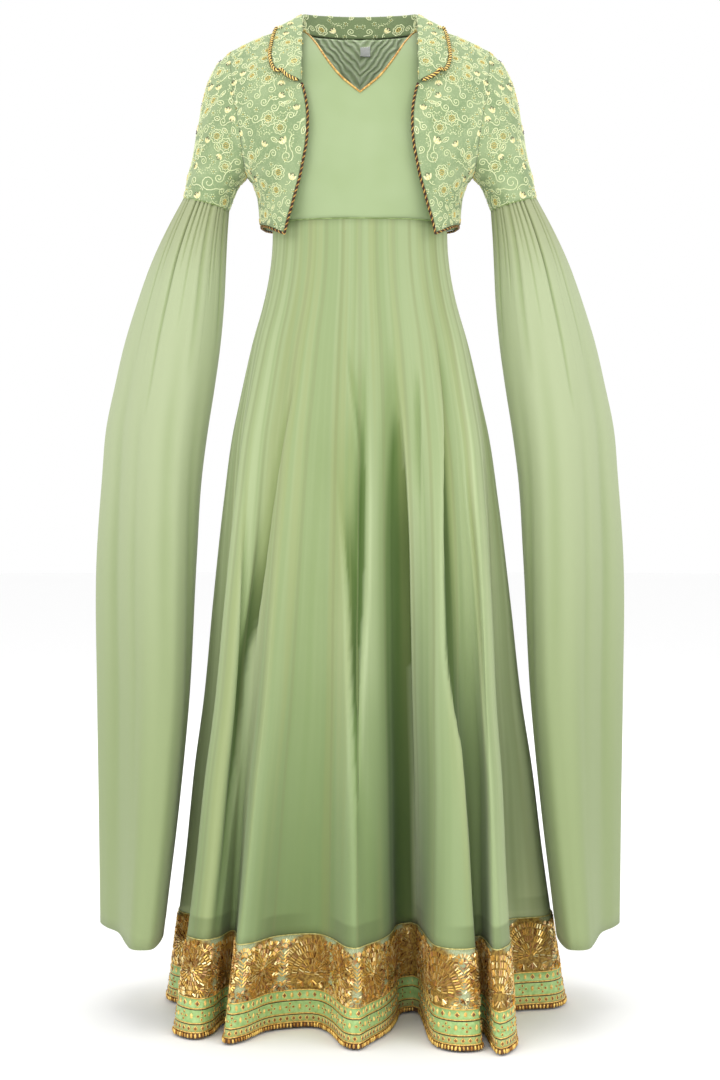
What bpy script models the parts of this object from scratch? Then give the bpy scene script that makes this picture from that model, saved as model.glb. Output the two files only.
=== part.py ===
"""Anarkali suit in its worn shape with no wearer: a sleeveless gown of a plain yoke and a skirt of kalis
(flared panels) with a wide border, and a short embroidered jacket with a turned collar and long flared
sleeves. Metres, +Z up. The origin is midway between the two neck ends of the shoulder seams, the front
faces -Y, and the sleeves and the hem hang free below it."""

import math

import bpy
import numpy as np

MM = 0.001
SEAM_GAP = 0.3 * MM

# Heights, from the top down
WAIST = -0.280
FOLD_TOP = -0.36
BORDER_TOP = -1.276
BROCADE_TOP = -1.354
EDGING_TOP = -1.3995
HEM = -1.4065
UNDERARM = -0.209

# Cloth walls
GEORGETTE = 1.2 * MM
YOKE_CLOTH = 1.4 * MM
JACKET_CLOTH = 2.0 * MM
COLLAR_CLOTH = 1.8 * MM
BORDER_CLOTH = 2.2 * MM
BORDER_PROUD = 0.5 * MM

# The skirt's kalis are counted from the left side seam, along the front, round to the left side again
KALIS = 32
KALI_SPANS = 4
CENTRE_FRONT = 8
RIGHT_SIDE = 16
CENTRE_BACK = 24
KALI_ROWS = (0, 0.07, 0.15, 0.26, 0.39, 0.54, 0.69, 0.84, 1)

# Skirt outline: height, half width
SKIRT_OUTLINE = (
    (-0.280, 0.1255),
    (-0.319, 0.1268),
    (-0.358, 0.1317),
    (-0.399, 0.1410),
    (-0.445, 0.1545),
    (-0.493, 0.1660),
    (-0.540, 0.1765),
    (-0.574, 0.1840),
    (-0.677, 0.1990),
    (-0.822, 0.2160),
    (-0.964, 0.2310),
    (-1.062, 0.2455),
    (-1.192, 0.2604),
    (-1.340, 0.2807),
    (-1.4065, 0.2911),
)
HEM_HALF_WIDTH = SKIRT_OUTLINE[-1][1]
WAIST_FRONT, WAIST_BACK = 0.105, 0.090
HIP_ROUNDING = 0.9
WAIST_SQUARENESS = 2.4

# The hem seen from above, one row for each crest and valley of its flutes: kali where one is fixed, x, y
HEM_FOLDS = (
    (0, -0.2835, 0.030),
    (None, -0.266, -0.010),
    (None, -0.190, -0.050),
    (None, -0.172, -0.076),
    (None, -0.198, -0.110),
    (None, -0.256, -0.172),
    (None, -0.236, -0.216),
    (None, -0.210, -0.210),
    (None, -0.193, -0.135),
    (None, -0.183, -0.150),
    (None, -0.184, -0.243),
    (None, -0.160, -0.232),
    (None, -0.132, -0.180),
    (None, -0.098, -0.158),
    (None, -0.062, -0.155),
    (None, -0.040, -0.192),
    (None, -0.021, -0.262),
    (CENTRE_FRONT, -0.001, -0.276),
    (None, 0.012, -0.248),
    (None, 0.033, -0.198),
    (None, 0.054, -0.120),
    (None, 0.064, -0.078),
    (None, 0.084, -0.074),
    (None, 0.090, -0.130),
    (None, 0.096, -0.230),
    (None, 0.107, -0.268),
    (None, 0.134, -0.287),
    (None, 0.164, -0.272),
    (None, 0.160, -0.200),
    (None, 0.172, -0.190),
    (None, 0.182, -0.298),
    (None, 0.200, -0.288),
    (None, 0.212, -0.235),
    (None, 0.204, -0.110),
    (None, 0.222, -0.059),
    (None, 0.280, -0.040),
    (RIGHT_SIDE, 0.299, -0.005),
    (None, 0.290, 0.048),
    (None, 0.218, 0.080),
    (None, 0.214, 0.110),
    (None, 0.264, 0.170),
    (None, 0.236, 0.208),
    (None, 0.160, 0.150),
    (None, 0.138, 0.160),
    (None, 0.150, 0.268),
    (None, 0.112, 0.282),
    (None, 0.078, 0.172),
    (None, 0.050, 0.160),
    (None, 0.034, 0.272),
    (CENTRE_BACK, -0.004, 0.288),
    (None, -0.040, 0.180),
    (None, -0.064, 0.166),
    (None, -0.088, 0.264),
    (None, -0.128, 0.274),
    (None, -0.142, 0.168),
    (None, -0.164, 0.146),
    (None, -0.210, 0.228),
    (None, -0.240, 0.192),
    (None, -0.205, 0.108),
    (None, -0.212, 0.082),
    (None, -0.272, 0.070),
)

# Shoulder line of the jacket: distance from the centre, height
SHOULDER_LINE = (
    (0.000, 0.030),
    (0.045, 0.022),
    (0.083, 0.002),
    (0.1276, -0.004),
    (0.157, -0.0154),
    (0.186, -0.030),
)
SHOULDER_ARCH = 0.15
ARCH_POWER = 0.75

# Torso layers: height, half width, front depth, back depth
YOKE_BODY = (
    (-0.300, 0.1255, 0.105, 0.090),
    (-0.280, 0.1255, 0.105, 0.090),
    (-0.245, 0.1400, 0.110, 0.091),
    (-0.209, 0.1560, 0.114, 0.093),
    (-0.165, 0.1750, 0.116, 0.095),
    (-0.120, 0.1900, 0.113, 0.095),
    (-0.030, 0.2000, 0.108, 0.092),
    (0.040, 0.2000, 0.108, 0.092),
)
JACKET_BODY = (
    (-0.300, 0.1437, 0.124, 0.100),
    (-0.281, 0.1437, 0.124, 0.100),
    (-0.258, 0.1437, 0.124, 0.101),
    (-0.232, 0.1500, 0.124, 0.102),
    (-0.209, 0.1630, 0.125, 0.103),
    (-0.190, 0.1780, 0.125, 0.104),
    (-0.160, 0.1950, 0.125, 0.104),
    (-0.120, 0.2050, 0.122, 0.104),
    (-0.030, 0.2150, 0.116, 0.101),
    (0.040, 0.2150, 0.116, 0.101),
)
YOKE_SQUARENESS = 2.4
JACKET_SQUARENESS = 2.7
# The jacket's shoulders rest on the yoke's straps
YOKE_DROP = JACKET_CLOTH + 1.5 * MM

# Yoke edges: distance from the centre, height
V_NECK = ((0.0, -0.1065), (0.0275, -0.083), (0.0485, -0.054), (0.0665, -0.022), (0.083, None))
BACK_SCOOP = ((0.0, -0.150), (0.034, -0.138), (0.060, -0.096), (0.075, -0.044), (0.083, None))
STRAP = ((0.104, None), (0.124, None))
YOKE_SIDE = (
    (0.124, None),
    (0.1225, -0.014),
    (0.1200, -0.030),
    (0.1185, -0.060),
    (0.122, -0.110),
    (0.136, -0.165),
    (0.156, -0.209),
    (0.140, -0.245),
    (0.1255, WAIST),
)
YOKE_UNDERARM_ROW = 6

# Jacket edges: distance from the centre, height
FRONT_EDGE = (
    (0.0920, None),
    (0.0923, -0.009),
    (0.0925, -0.030),
    (0.0922, -0.060),
    (0.0918, -0.0875),
    (0.0834, -0.0925),
    (0.0762, -0.126),
    (0.0752, -0.155),
    (0.0792, -0.190),
    (0.0887, -0.231),
    (0.0980, -0.264),
    (0.1073, -0.298),
)
NECKLINE_ROWS = 5
BACK_NECK = ((0.0, -0.0035), (0.032, -0.0035), (0.056, -0.0035), (0.076, -0.0035), (0.092, None))
ARMHOLE = ((-0.030, 0.1860), (-0.094, 0.1800), (-0.141, 0.1720), (UNDERARM, 0.1630))
ARMHOLE_SPANS = 9
JACKET_SIDE = ((0.150, -0.232), (0.1437, -0.281))
SHOULDER_SPANS = 4
BACK_ROW_SPREAD = 1.35

# Upper sleeve: the line along its top and the one under it, x and height
SLEEVE_TOP_LINE = (
    (0.1860, -0.0300),
    (0.2023, -0.0460),
    (0.2153, -0.0670),
    (0.2246, -0.0960),
    (0.2327, -0.1350),
    (0.2429, -0.1930),
    (0.2545, -0.2430),
)
SLEEVE_UNDER_LINE = ((0.1630, UNDERARM), (0.1790, -0.2320), (0.1900, -0.2590))
# Distance down the sleeve, half depth
SLEEVE_DEPTH = ((0, 0.074), (0.4, 0.064), (1, 0.052))
SLEEVE_RINGS = 6

# Flared sleeve: height, outer x, inner x, front depth, back depth
FLARE_OUTLINE = (
    (-0.2510, 0.2545, 0.1900, 0.052, 0.052),
    (-0.2900, 0.2770, 0.1925, 0.058, 0.056),
    (-0.3307, 0.2972, 0.1943, 0.064, 0.060),
    (-0.3916, 0.3207, 0.1972, 0.072, 0.066),
    (-0.4511, 0.3400, 0.2030, 0.080, 0.071),
    (-0.5120, 0.3545, 0.2117, 0.087, 0.075),
    (-0.5743, 0.3677, 0.2218, 0.094, 0.079),
    (-0.6395, 0.3735, 0.2305, 0.101, 0.083),
    (-0.7555, 0.3820, 0.2385, 0.115, 0.090),
    (-0.9672, 0.3821, 0.2508, 0.146, 0.106),
    (-1.1064, 0.3805, 0.2645, 0.172, 0.118),
    (-1.2900, 0.3787, 0.2870, 0.200, 0.132),
)
FLARE_TILT = 0.016
# The flared sleeve's hem seen from above, as shares of its width from the inner side and of its depth
FLARE_FOLDS = (
    (1.00, 0.00),
    (0.86, -0.20),
    (0.62, -0.40),
    (0.42, -0.78),
    (0.30, -0.96),
    (0.12, -1.00),
    (-0.04, -0.93),
    (-0.10, -0.55),
    (-0.03, -0.05),
    (0.02, 0.45),
    (0.28, 0.92),
    (0.52, 1.00),
    (0.70, 0.82),
    (0.76, 0.42),
    (0.93, 0.18),
)
GATHERS = 28
GATHER_DEPTH = 1.9 * MM
GATHERS_END = 0.20
GATHERED_ROWS = (0, 0.022, 0.06, 0.115)
SMOOTH_ROWS = (0.20, 0.30, 0.41, 0.53, 0.66, 0.79, 0.90, 1)

# Collar sections from the front end to the centre back. The seam and the edge lie over the jacket's front
# (side -1) or back (side 1): side, seam x, seam z, roll x, y, z, edge x, edge z, lift of the edge
COLLAR_SECTIONS = (
    (-1, 0.0905, -0.0865, 0.0836, None, -0.0885, 0.1085, -0.0765, 0.0048),
    (-1, 0.0906, -0.0800, 0.0832, None, -0.0825, 0.1165, -0.0715, 0.0048),
    (-1, 0.0907, -0.0720, 0.0830, None, -0.0735, 0.1210, -0.0620, 0.0048),
    (-1, 0.0910, -0.0550, 0.0830, None, -0.0550, 0.1232, -0.0470, 0.0048),
    (-1, 0.0912, -0.0300, 0.0830, None, -0.0300, 0.1215, -0.0240, 0.0050),
    (-1, 0.0912, -0.0120, 0.0830, -0.0290, -0.0030, 0.1190, -0.0110, 0.0054),
    (-1, 0.0908, 0.0015, 0.0832, -0.0030, 0.0190, 0.1155, -0.0045, 0.0086),
    (1, 0.0885, 0.0005, 0.0820, 0.0120, 0.0240, 0.1135, -0.0060, 0.0086),
    (1, 0.0850, -0.0010, 0.0800, 0.0260, 0.0280, 0.1060, -0.0100, 0.0080),
    (1, 0.0700, -0.0025, 0.0640, 0.0470, 0.0300, 0.0840, -0.0140, 0.0080),
    (1, 0.0360, -0.0025, 0.0330, 0.0600, 0.0310, 0.0420, -0.0150, 0.0080),
    (1, 0.0000, -0.0025, 0.0000, 0.0635, 0.0310, 0.0000, -0.0150, 0.0080),
)
COLLAR_ROLL = 2.4 * MM
COLLAR_ROLL_COLUMN = 4
FRONT_ROLL_LIFT = 5.0 * MM

# Trims
PIPING_RADIUS = 1.5 * MM
COLLAR_CORD_RADIUS = 2.8 * MM
FRONT_CORD_RADIUS = 2.0 * MM
CORD_SIDES_LEVEL = 1
CORD_END_GAP = 1.2 * MM
LABEL_WIDTH, LABEL_HEIGHT, LABEL_CLOTH = 14.5 * MM, 13 * MM, 1 * MM
LABEL_X, LABEL_TOP = 0.008, -0.0105
LABEL_STANDOFF = 0.7 * MM

# Name, colour, roughness, metallic value
GEORGETTE_LOOK = ("georgette", (0.40, 0.52, 0.25), 0.75, 0.0)
YOKE_LOOK = ("yoke crepe", (0.45, 0.60, 0.31), 0.7, 0.0)
JACKET_LOOK = ("embroidered cloth", (0.42, 0.58, 0.33), 0.8, 0.0)
ZARDOZI_LOOK = ("gold beadwork", (0.50, 0.28, 0.07), 0.35, 0.7)
BROCADE_LOOK = ("green brocade", (0.24, 0.48, 0.18), 0.5, 0.0)
EDGING_LOOK = ("gold edging", (0.55, 0.33, 0.10), 0.35, 0.8)
ROPE_LOOK = ("gold and brown rope", (0.48, 0.27, 0.09), 0.4, 0.6)
LABEL_LOOK = ("white label", (0.85, 0.85, 0.82), 0.8, 0.0)


def clear_scene():
    for old in list(bpy.data.objects):
        bpy.data.objects.remove(old, do_unlink=True)


def material(look):
    name, colour, roughness, metallic = look
    made = bpy.data.materials.new(name)
    made.use_nodes = True
    shader = made.node_tree.nodes["Principled BSDF"]
    shader.inputs["Base Color"].default_value = (*colour, 1)
    shader.inputs["Roughness"].default_value = roughness
    shader.inputs["Metallic"].default_value = metallic
    return made


def place(name, points, triangles, look):
    """A mesh object of these points and triangles, turned so that its faces point out."""
    corners = points[triangles]
    if np.linalg.det(corners).sum() < 0:
        triangles = triangles[:, ::-1]
    mesh = bpy.data.meshes.new(name)
    mesh.from_pydata(points.tolist(), [], triangles.tolist())
    mesh.shade_smooth()
    mesh.set_sharp_from_angle(angle=math.radians(50))
    mesh.materials.append(material(look))
    made = bpy.data.objects.new(name, mesh)
    bpy.context.collection.objects.link(made)
    return made


def smooth_table(rows, at):
    """Values of a table at given keys of its first column, along a smooth curve through its rows."""
    rows = np.array(sorted(rows), float)
    keys, values = rows[:, 0], rows[:, 1:]
    slopes = np.gradient(values, keys, axis=0)
    at = np.clip(np.asarray(at, float), keys[0], keys[-1])
    i = np.clip(np.searchsorted(keys, at, side="right") - 1, 0, len(keys) - 2)
    span = (keys[i + 1] - keys[i])[..., None]
    t = ((at - keys[i]) / span[..., 0])[..., None]
    low, high = values[i], values[i + 1]
    return (
        low * (1 + 2 * t) * (1 - t) ** 2
        + high * t**2 * (3 - 2 * t)
        + span * (slopes[i] * t * (1 - t) ** 2 - slopes[i + 1] * t**2 * (1 - t))
    )


def smooth_line(points, closed=False, fine=16):
    """A dense smooth line through the points (Catmull-Rom)."""
    points = np.array(points, float)
    if closed:
        ring = np.concatenate([points[-1:], points, points[:2]])
    else:
        ring = np.concatenate([2 * points[:1] - points[1:2], points, 2 * points[-1:] - points[-2:-1]])
    a, b, c, d = (ring[i : len(ring) - 3 + i, None] for i in range(4))
    t = (np.arange(fine) / fine)[None, :, None]
    line = b + 0.5 * t * (c - a + t * (2 * a - 5 * b + 4 * c - d + t * (3 * (b - c) + d - a)))
    return np.concatenate([line.reshape(-1, points.shape[1]), ring[-2:-1]])


def lengths(line):
    return np.concatenate([[0], np.cumsum(np.linalg.norm(np.diff(line, axis=0), axis=1))])


def along(line, shares):
    """Points of a line at these shares of its length."""
    run = lengths(line)
    at = np.asarray(shares) * run[-1]
    return np.stack([np.interp(at, run, axis) for axis in line.T], axis=-1)


def unit(vectors):
    return vectors / np.maximum(np.linalg.norm(vectors, axis=-1, keepdims=True), 1e-12)


def wall(name, outer, inner, look, closed=False):
    """A closed body between two grids of points. A closed one joins its last column to its first."""
    rows, columns = outer.shape[:2]
    number = np.arange(rows * columns).reshape(rows, columns)
    if closed:
        number = np.concatenate([number, number[:, :1]], axis=1)
    far = number + rows * columns

    def strip(a, b):
        return np.concatenate(
            [
                np.stack([a[:-1], a[1:], b[1:]], axis=1),
                np.stack([a[:-1], b[1:], b[:-1]], axis=1),
            ]
        )

    faces = [strip(far[0], number[0]), strip(number[-1], far[-1])]
    for i in range(rows - 1):
        faces += [strip(number[i], number[i + 1]), strip(far[i], far[i + 1])[:, ::-1]]
    if not closed:
        faces += [strip(number[:, 0], far[:, 0]), strip(far[:, -1], number[:, -1])]
    points = np.concatenate([outer.reshape(-1, 3), inner.reshape(-1, 3)])
    return place(name, points, np.concatenate(faces), look)


def cord(name, points, radius, look, closed=False):
    curve = bpy.data.curves.new(name, "CURVE")
    curve.dimensions = "3D"
    curve.bevel_depth = radius
    curve.bevel_resolution = CORD_SIDES_LEVEL
    curve.use_fill_caps = True
    spline = curve.splines.new("POLY")
    spline.points.add(len(points) - 1)
    for point, place_at in zip(spline.points, points):
        point.co = (*place_at, 1)
    spline.use_cyclic_u = closed
    curve.materials.append(material(look))
    made = bpy.data.objects.new(name, curve)
    bpy.context.collection.objects.link(made)
    return made


def beside(points, normals, distance, closed=False):
    """An edge line moved this far off its cloth, in the cloth's own surface, with mitred corners."""
    after = np.roll(points, -1, axis=0) - points
    sides = unit(np.cross(unit(after), unit(normals)))
    if not closed:
        sides[-1] = sides[-2]
    before = np.roll(sides, 1, axis=0)
    if not closed:
        before[0] = sides[0]
    middle = unit(sides + before)
    return points + distance * middle / np.maximum((middle * sides).sum(axis=1), 0.5)[:, None]


def superellipse(angle, half_width, front, back, squareness):
    """Points at angles from the centre front, growing towards +X."""
    sine, cosine = np.sin(angle), np.cos(angle)
    power = 2 / squareness
    depth = np.where(cosine >= 0, front, back)
    x = half_width * np.sign(sine) * np.abs(sine) ** power
    y = -depth * np.sign(cosine) * np.abs(cosine) ** power
    return np.stack([x, y], axis=-1)


def waist_angles():
    """Angle against kali, for kalis of one width round each quarter of the waist."""
    angles = np.linspace(-math.pi / 2, 3 * math.pi / 2, 1025)
    ring = superellipse(angles, SKIRT_OUTLINE[0][1], WAIST_FRONT, WAIST_BACK, WAIST_SQUARENESS)
    run = lengths(ring)
    quarters = run[:: len(angles) // 4]
    return np.interp(run, quarters, (0, CENTRE_FRONT, RIGHT_SIDE, CENTRE_BACK, KALIS)), angles


def hem_line():
    """Point of the hem against kali, for kalis of one width between the fixed ones."""
    fine = 16
    line = smooth_line([row[1:] for row in HEM_FOLDS], closed=True, fine=fine)
    fixed = [(i * fine, row[0]) for i, row in enumerate(HEM_FOLDS) if row[0] is not None]
    fixed.append((len(line) - 1, KALIS))
    run = lengths(line)
    return np.interp(run, [run[i] for i, _ in fixed], [kali for _, kali in fixed]), line


KALI_AT_ANGLE, WAIST_ANGLES = waist_angles()
KALI_AT_HEM, HEM_LINE = hem_line()


def skirt(kali, height):
    """Point and outward normal of the skirt's cloth, at a kali number and a height."""
    kali, height = np.broadcast_arrays(kali, height)

    def section(kali):
        turn = kali % KALIS
        half_width = smooth_table(SKIRT_OUTLINE, height)[..., 0]
        wider = HIP_ROUNDING * (half_width - SKIRT_OUTLINE[0][1])
        angle = np.interp(turn, KALI_AT_ANGLE, WAIST_ANGLES)
        front, back = WAIST_FRONT + wider, WAIST_BACK + wider
        body = superellipse(angle, half_width, front, back, WAIST_SQUARENESS)
        folds = np.stack([np.interp(turn, KALI_AT_HEM, axis) for axis in HEM_LINE.T], axis=-1)
        share = np.clip((FOLD_TOP - height) / (FOLD_TOP - HEM), 0, 1)[..., None] ** 1.15
        return body * (1 - share) + folds * share * (half_width / HEM_HALF_WIDTH)[..., None]

    step = 0.02
    flat = section(kali)
    run = unit(section(kali + step) - section(kali - step))
    normal = np.stack([run[..., 1], -run[..., 0], np.zeros(kali.shape)], axis=-1)
    return np.concatenate([flat, height[..., None]], axis=-1), normal, run


def skirt_wall(name, kalis, heights, thickness, proud, look):
    """A piece of the skirt, half a seam gap short of its two side seams."""
    points, normals, runs = skirt(kalis[None, :], np.array(heights)[:, None])
    points[:, 0, :2] += runs[:, 0] * SEAM_GAP / 2
    points[:, -1, :2] -= runs[:, -1] * SEAM_GAP / 2
    wall(name, points + normals * proud, points - normals * (thickness - proud), look)


def build_skirt():
    top, foot = WAIST - SEAM_GAP / 2, BORDER_TOP + SEAM_GAP / 2
    heights = [top + share * (foot - top) for share in KALI_ROWS]
    for number in range(KALIS):
        kalis = np.linspace(number, number + 1, KALI_SPANS + 1)
        skirt_wall(f"kali_{number + 1:02d}", kalis, heights, GEORGETTE, 0, GEORGETTE_LOOK)


def build_border():
    strips = (
        ("border_beadwork", BORDER_TOP, BROCADE_TOP, ZARDOZI_LOOK),
        ("border_brocade", BROCADE_TOP, EDGING_TOP, BROCADE_LOOK),
        ("hem_edging", EDGING_TOP, HEM - SEAM_GAP / 2, EDGING_LOOK),
    )
    for side, first in (("front", 0), ("back", RIGHT_SIDE)):
        kalis = np.linspace(first, first + KALIS // 2, KALIS // 2 * KALI_SPANS + 1)
        for name, top, foot, look in strips:
            heights = (top - SEAM_GAP / 2, foot + SEAM_GAP / 2)
            skirt_wall(f"{name}_{side}", kalis, heights, BORDER_CLOTH, BORDER_PROUD, look)


def shoulder_height(x):
    return smooth_table(SHOULDER_LINE, np.abs(x))[..., 0]


def torso(flat, side, body, squareness, drop=0.0):
    """Points of a torso layer above (x, z), on its front (side -1) or its back (side 1)."""
    x, z = flat[..., 0], flat[..., 1]
    half_width, front, back = np.moveaxis(smooth_table(body, z), -1, 0)
    below = np.clip((shoulder_height(x) - drop - z) / SHOULDER_ARCH, 0, 1)
    arch = np.sin(math.pi / 2 * below**ARCH_POWER)
    across = (1 - np.clip(np.abs(x) / half_width, 0, 1) ** squareness) ** (1 / squareness)
    depth = (front if side < 0 else back) * arch * across
    return np.stack([x, side * (depth + SEAM_GAP / 2), z], axis=-1)


def on_yoke(flat, side):
    return torso(flat, side, YOKE_BODY, YOKE_SQUARENESS, YOKE_DROP)


def on_jacket(flat, side):
    return torso(flat, side, JACKET_BODY, JACKET_SQUARENESS)


def off_jacket(flat, side, lift):
    """A point this far out from the jacket's cloth."""
    here = on_jacket(flat, side)
    step = 1 * MM
    run = on_jacket(flat + np.array([step, 0]), side) - here
    down = on_jacket(flat - np.array([0, step]), side) - here
    return here + side * unit(np.cross(run, down)) * lift


def edge(rows, drop=0.0):
    """An edge's (x, z) points, where a height of None lies on the shoulder line."""
    return np.array([(x, shoulder_height(x) - drop if z is None else z) for x, z in rows], float)


def patch(top, foot, inner, outer):
    """A grid of (x, z) points filled in between four edges that share their corners."""
    u = np.linspace(0, 1, len(top))[None, :, None]
    v = np.linspace(0, 1, len(inner))[:, None, None]
    across = (1 - u) * inner[:, None] + u * outer[:, None]
    down = (1 - v) * top[None] + v * foot[None]
    corners = (1 - v) * ((1 - u) * top[0] + u * top[-1]) + v * ((1 - u) * foot[0] + u * foot[-1])
    return across + down - corners


def both_halves(half):
    """A right half whose first column is the centre line, with its mirror image."""
    left = half[:, :0:-1].copy()
    left[..., 0] *= -1
    return np.concatenate([left, half], axis=1)


def straight(first, last, spans):
    share = np.linspace(0, 1, spans + 1)[:, None]
    return np.array(first) * (1 - share) + np.array(last) * share


def grid_normals(points, side):
    """Outward unit normals of a front (side -1) or back (side 1) panel's grid."""
    down = np.gradient(points, axis=0)
    run = np.gradient(points, axis=1)
    normals = unit(np.cross(run, down))
    return normals * np.sign((normals[..., 1] * side).sum())


def level(normals, rows, columns):
    """Turns normals along a shoulder or side seam level with it, so that both sides of the seam meet."""
    normals[rows, columns, 1] = 0
    normals[rows, columns] = unit(normals[rows, columns])


def build_yoke():
    """Front and back panels, and the piping round the neck."""
    neck = {}
    side_line = edge(YOKE_SIDE, YOKE_DROP)
    for name, side, neckline in (("yoke_front", -1, V_NECK), ("yoke_back", 1, BACK_SCOOP)):
        top = edge(neckline + STRAP, YOKE_DROP)
        foot = straight((0, WAIST), side_line[-1], len(top) - 1)
        centre = straight(top[0], (0, WAIST), len(side_line) - 1)
        flat = both_halves(patch(top, foot, centre, side_line))
        flat[-1, :, 1] += SEAM_GAP / 2
        points = on_yoke(flat, side)
        normals = grid_normals(points, side)
        middle, strap = len(top) - 1, len(neckline) - 1
        level(normals, 0, slice(0, middle - strap + 1))
        level(normals, 0, slice(middle + strap, None))
        for column in (0, -1):
            level(normals, slice(YOKE_UNDERARM_ROW, None), column)
        wall(name, points, points - normals * YOKE_CLOTH, YOKE_LOOK)
        rim = slice(middle - strap, middle + strap + 1)
        neck[name] = points[0, rim] - normals[0, rim] * YOKE_CLOTH / 2, normals[0, rim]
    front, front_normals = neck["yoke_front"]
    back, back_normals = neck["yoke_back"]
    line = np.concatenate([front[:-1], back[:0:-1]])
    normals = np.concatenate([front_normals[:-1], back_normals[:0:-1]])
    line[[0, len(front) - 1], 1] = 0
    loop = beside(line, normals, -(PIPING_RADIUS + SEAM_GAP + 0.1 * MM), closed=True)
    cord("neck_piping", loop, PIPING_RADIUS, ROPE_LOOK, closed=True)


def armhole(side):
    """The armhole seam of one side of the right shoulder, from its tip to the underarm."""
    turn = np.linspace(0, math.pi, ARMHOLE_SPANS + 1)
    top = ARMHOLE[0][0]
    z = top + (UNDERARM - top) * (1 - np.cos(turn)) / 2
    return on_jacket(np.stack([smooth_table(ARMHOLE, z)[:, 0], z], axis=-1), side)


def build_jacket():
    """The two fronts, the back and the rope cords round their free edges."""
    for side_name, mirror in (("right", 1), ("left", -1)):
        inner = edge(FRONT_EDGE)
        outer = np.concatenate([armhole(-1)[:, [0, 2]], JACKET_SIDE])
        shoulder = edge([(x, None) for x in np.linspace(inner[0, 0], outer[0, 0], SHOULDER_SPANS + 1)])
        foot = straight(inner[-1], outer[-1], SHOULDER_SPANS)
        points = on_jacket(patch(shoulder, foot, inner, outer), -1)
        normals = grid_normals(points, -1)
        level(normals, 0, slice(None))
        level(normals, slice(ARMHOLE_SPANS, None), -1)
        flip = np.array([mirror, 1, 1])
        inside = points - normals * JACKET_CLOTH
        wall(f"jacket_front_{side_name}", points * flip, inside * flip, JACKET_LOOK)
        path = np.concatenate([points[NECKLINE_ROWS:, 0], points[-1, 1:]])
        faces_out = np.concatenate([normals[NECKLINE_ROWS:, 0], normals[-1, 1:]])
        path = path - faces_out * JACKET_CLOTH / 2
        path = beside(path, faces_out, FRONT_CORD_RADIUS + SEAM_GAP)
        path[-1, 1] = -CORD_END_GAP
        cord(f"front_cord_{side_name}", path * flip, FRONT_CORD_RADIUS, ROPE_LOOK)


def build_jacket_back():
    neck = edge(BACK_NECK)
    outer = np.concatenate([armhole(1)[:, [0, 2]], JACKET_SIDE])
    shoulder_x = np.linspace(neck[-1, 0], outer[0, 0], SHOULDER_SPANS + 1)[1:]
    top = np.concatenate([neck, edge([(x, None) for x in shoulder_x])])
    foot = straight((0, outer[-1, 1]), outer[-1], len(top) - 1)
    rows = np.linspace(0, 1, len(outer))[:, None] ** BACK_ROW_SPREAD
    centre = top[0] * (1 - rows) + foot[0] * rows
    points = on_jacket(both_halves(patch(top, foot, centre, outer)), 1)
    normals = grid_normals(points, 1)
    middle, strap = len(top) - 1, len(neck) - 1
    level(normals, 0, slice(0, middle - strap + 1))
    level(normals, 0, slice(middle + strap, None))
    for column in (0, -1):
        level(normals, slice(ARMHOLE_SPANS, None), column)
    wall("jacket_back", points, points - normals * JACKET_CLOTH, JACKET_LOOK)
    rim = points[-1] - normals[-1] * JACKET_CLOTH / 2
    path = rim - np.array([0, 0, FRONT_CORD_RADIUS + SEAM_GAP])
    path[0, 1] = path[-1, 1] = CORD_END_GAP
    cord("back_hem_cord", path, FRONT_CORD_RADIUS, ROPE_LOOK)


def build_collar():
    """Stand and fall in one turned piece of cloth, and the rope cord on its edge."""
    half = []
    for side, seam_x, seam_z, roll_x, roll_y, roll_z, edge_x, edge_z, lift in COLLAR_SECTIONS:
        seam = on_jacket(np.array([seam_x, seam_z]), side) + np.array([0, -side * JACKET_CLOTH / 2, 0])
        if roll_y is None:
            roll_y = on_jacket(np.array([roll_x, roll_z]), side)[1] - FRONT_ROLL_LIFT
        roll = np.array([roll_x, roll_y, roll_z])
        fall = off_jacket(np.array([edge_x, edge_z]), side, lift)
        into = unit(unit(seam - roll) + unit(fall - roll))
        apart = fall - seam
        apart = unit(apart - into * (apart @ into))
        turn = roll + into * COLLAR_ROLL
        low, high = turn - apart * COLLAR_ROLL, turn + apart * COLLAR_ROLL
        half.append([seam, (seam + low) / 2, low, roll, high, (high + fall) / 2, fall])
    half = np.array(half)
    other = half[-2::-1] * np.array([-1, 1, 1])
    middle = np.concatenate([half, other])
    down, run = np.gradient(middle, axis=0), np.gradient(middle, axis=1)
    normals = unit(np.cross(run, down))
    reach = normals * COLLAR_CLOTH / 2
    wall("collar", middle + reach, middle - reach, JACKET_LOOK)
    ends = slice(COLLAR_ROLL_COLUMN, None)
    path = np.concatenate([middle[0, ends], middle[1:-1, -1], middle[-1, ends][::-1]])
    faces_out = np.concatenate([normals[0, ends], normals[1:-1, -1], normals[-1, ends][::-1]])
    path = beside(path, faces_out, COLLAR_CORD_RADIUS + SEAM_GAP)
    cord("collar_cord", path, COLLAR_CORD_RADIUS, ROPE_LOOK)


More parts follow.
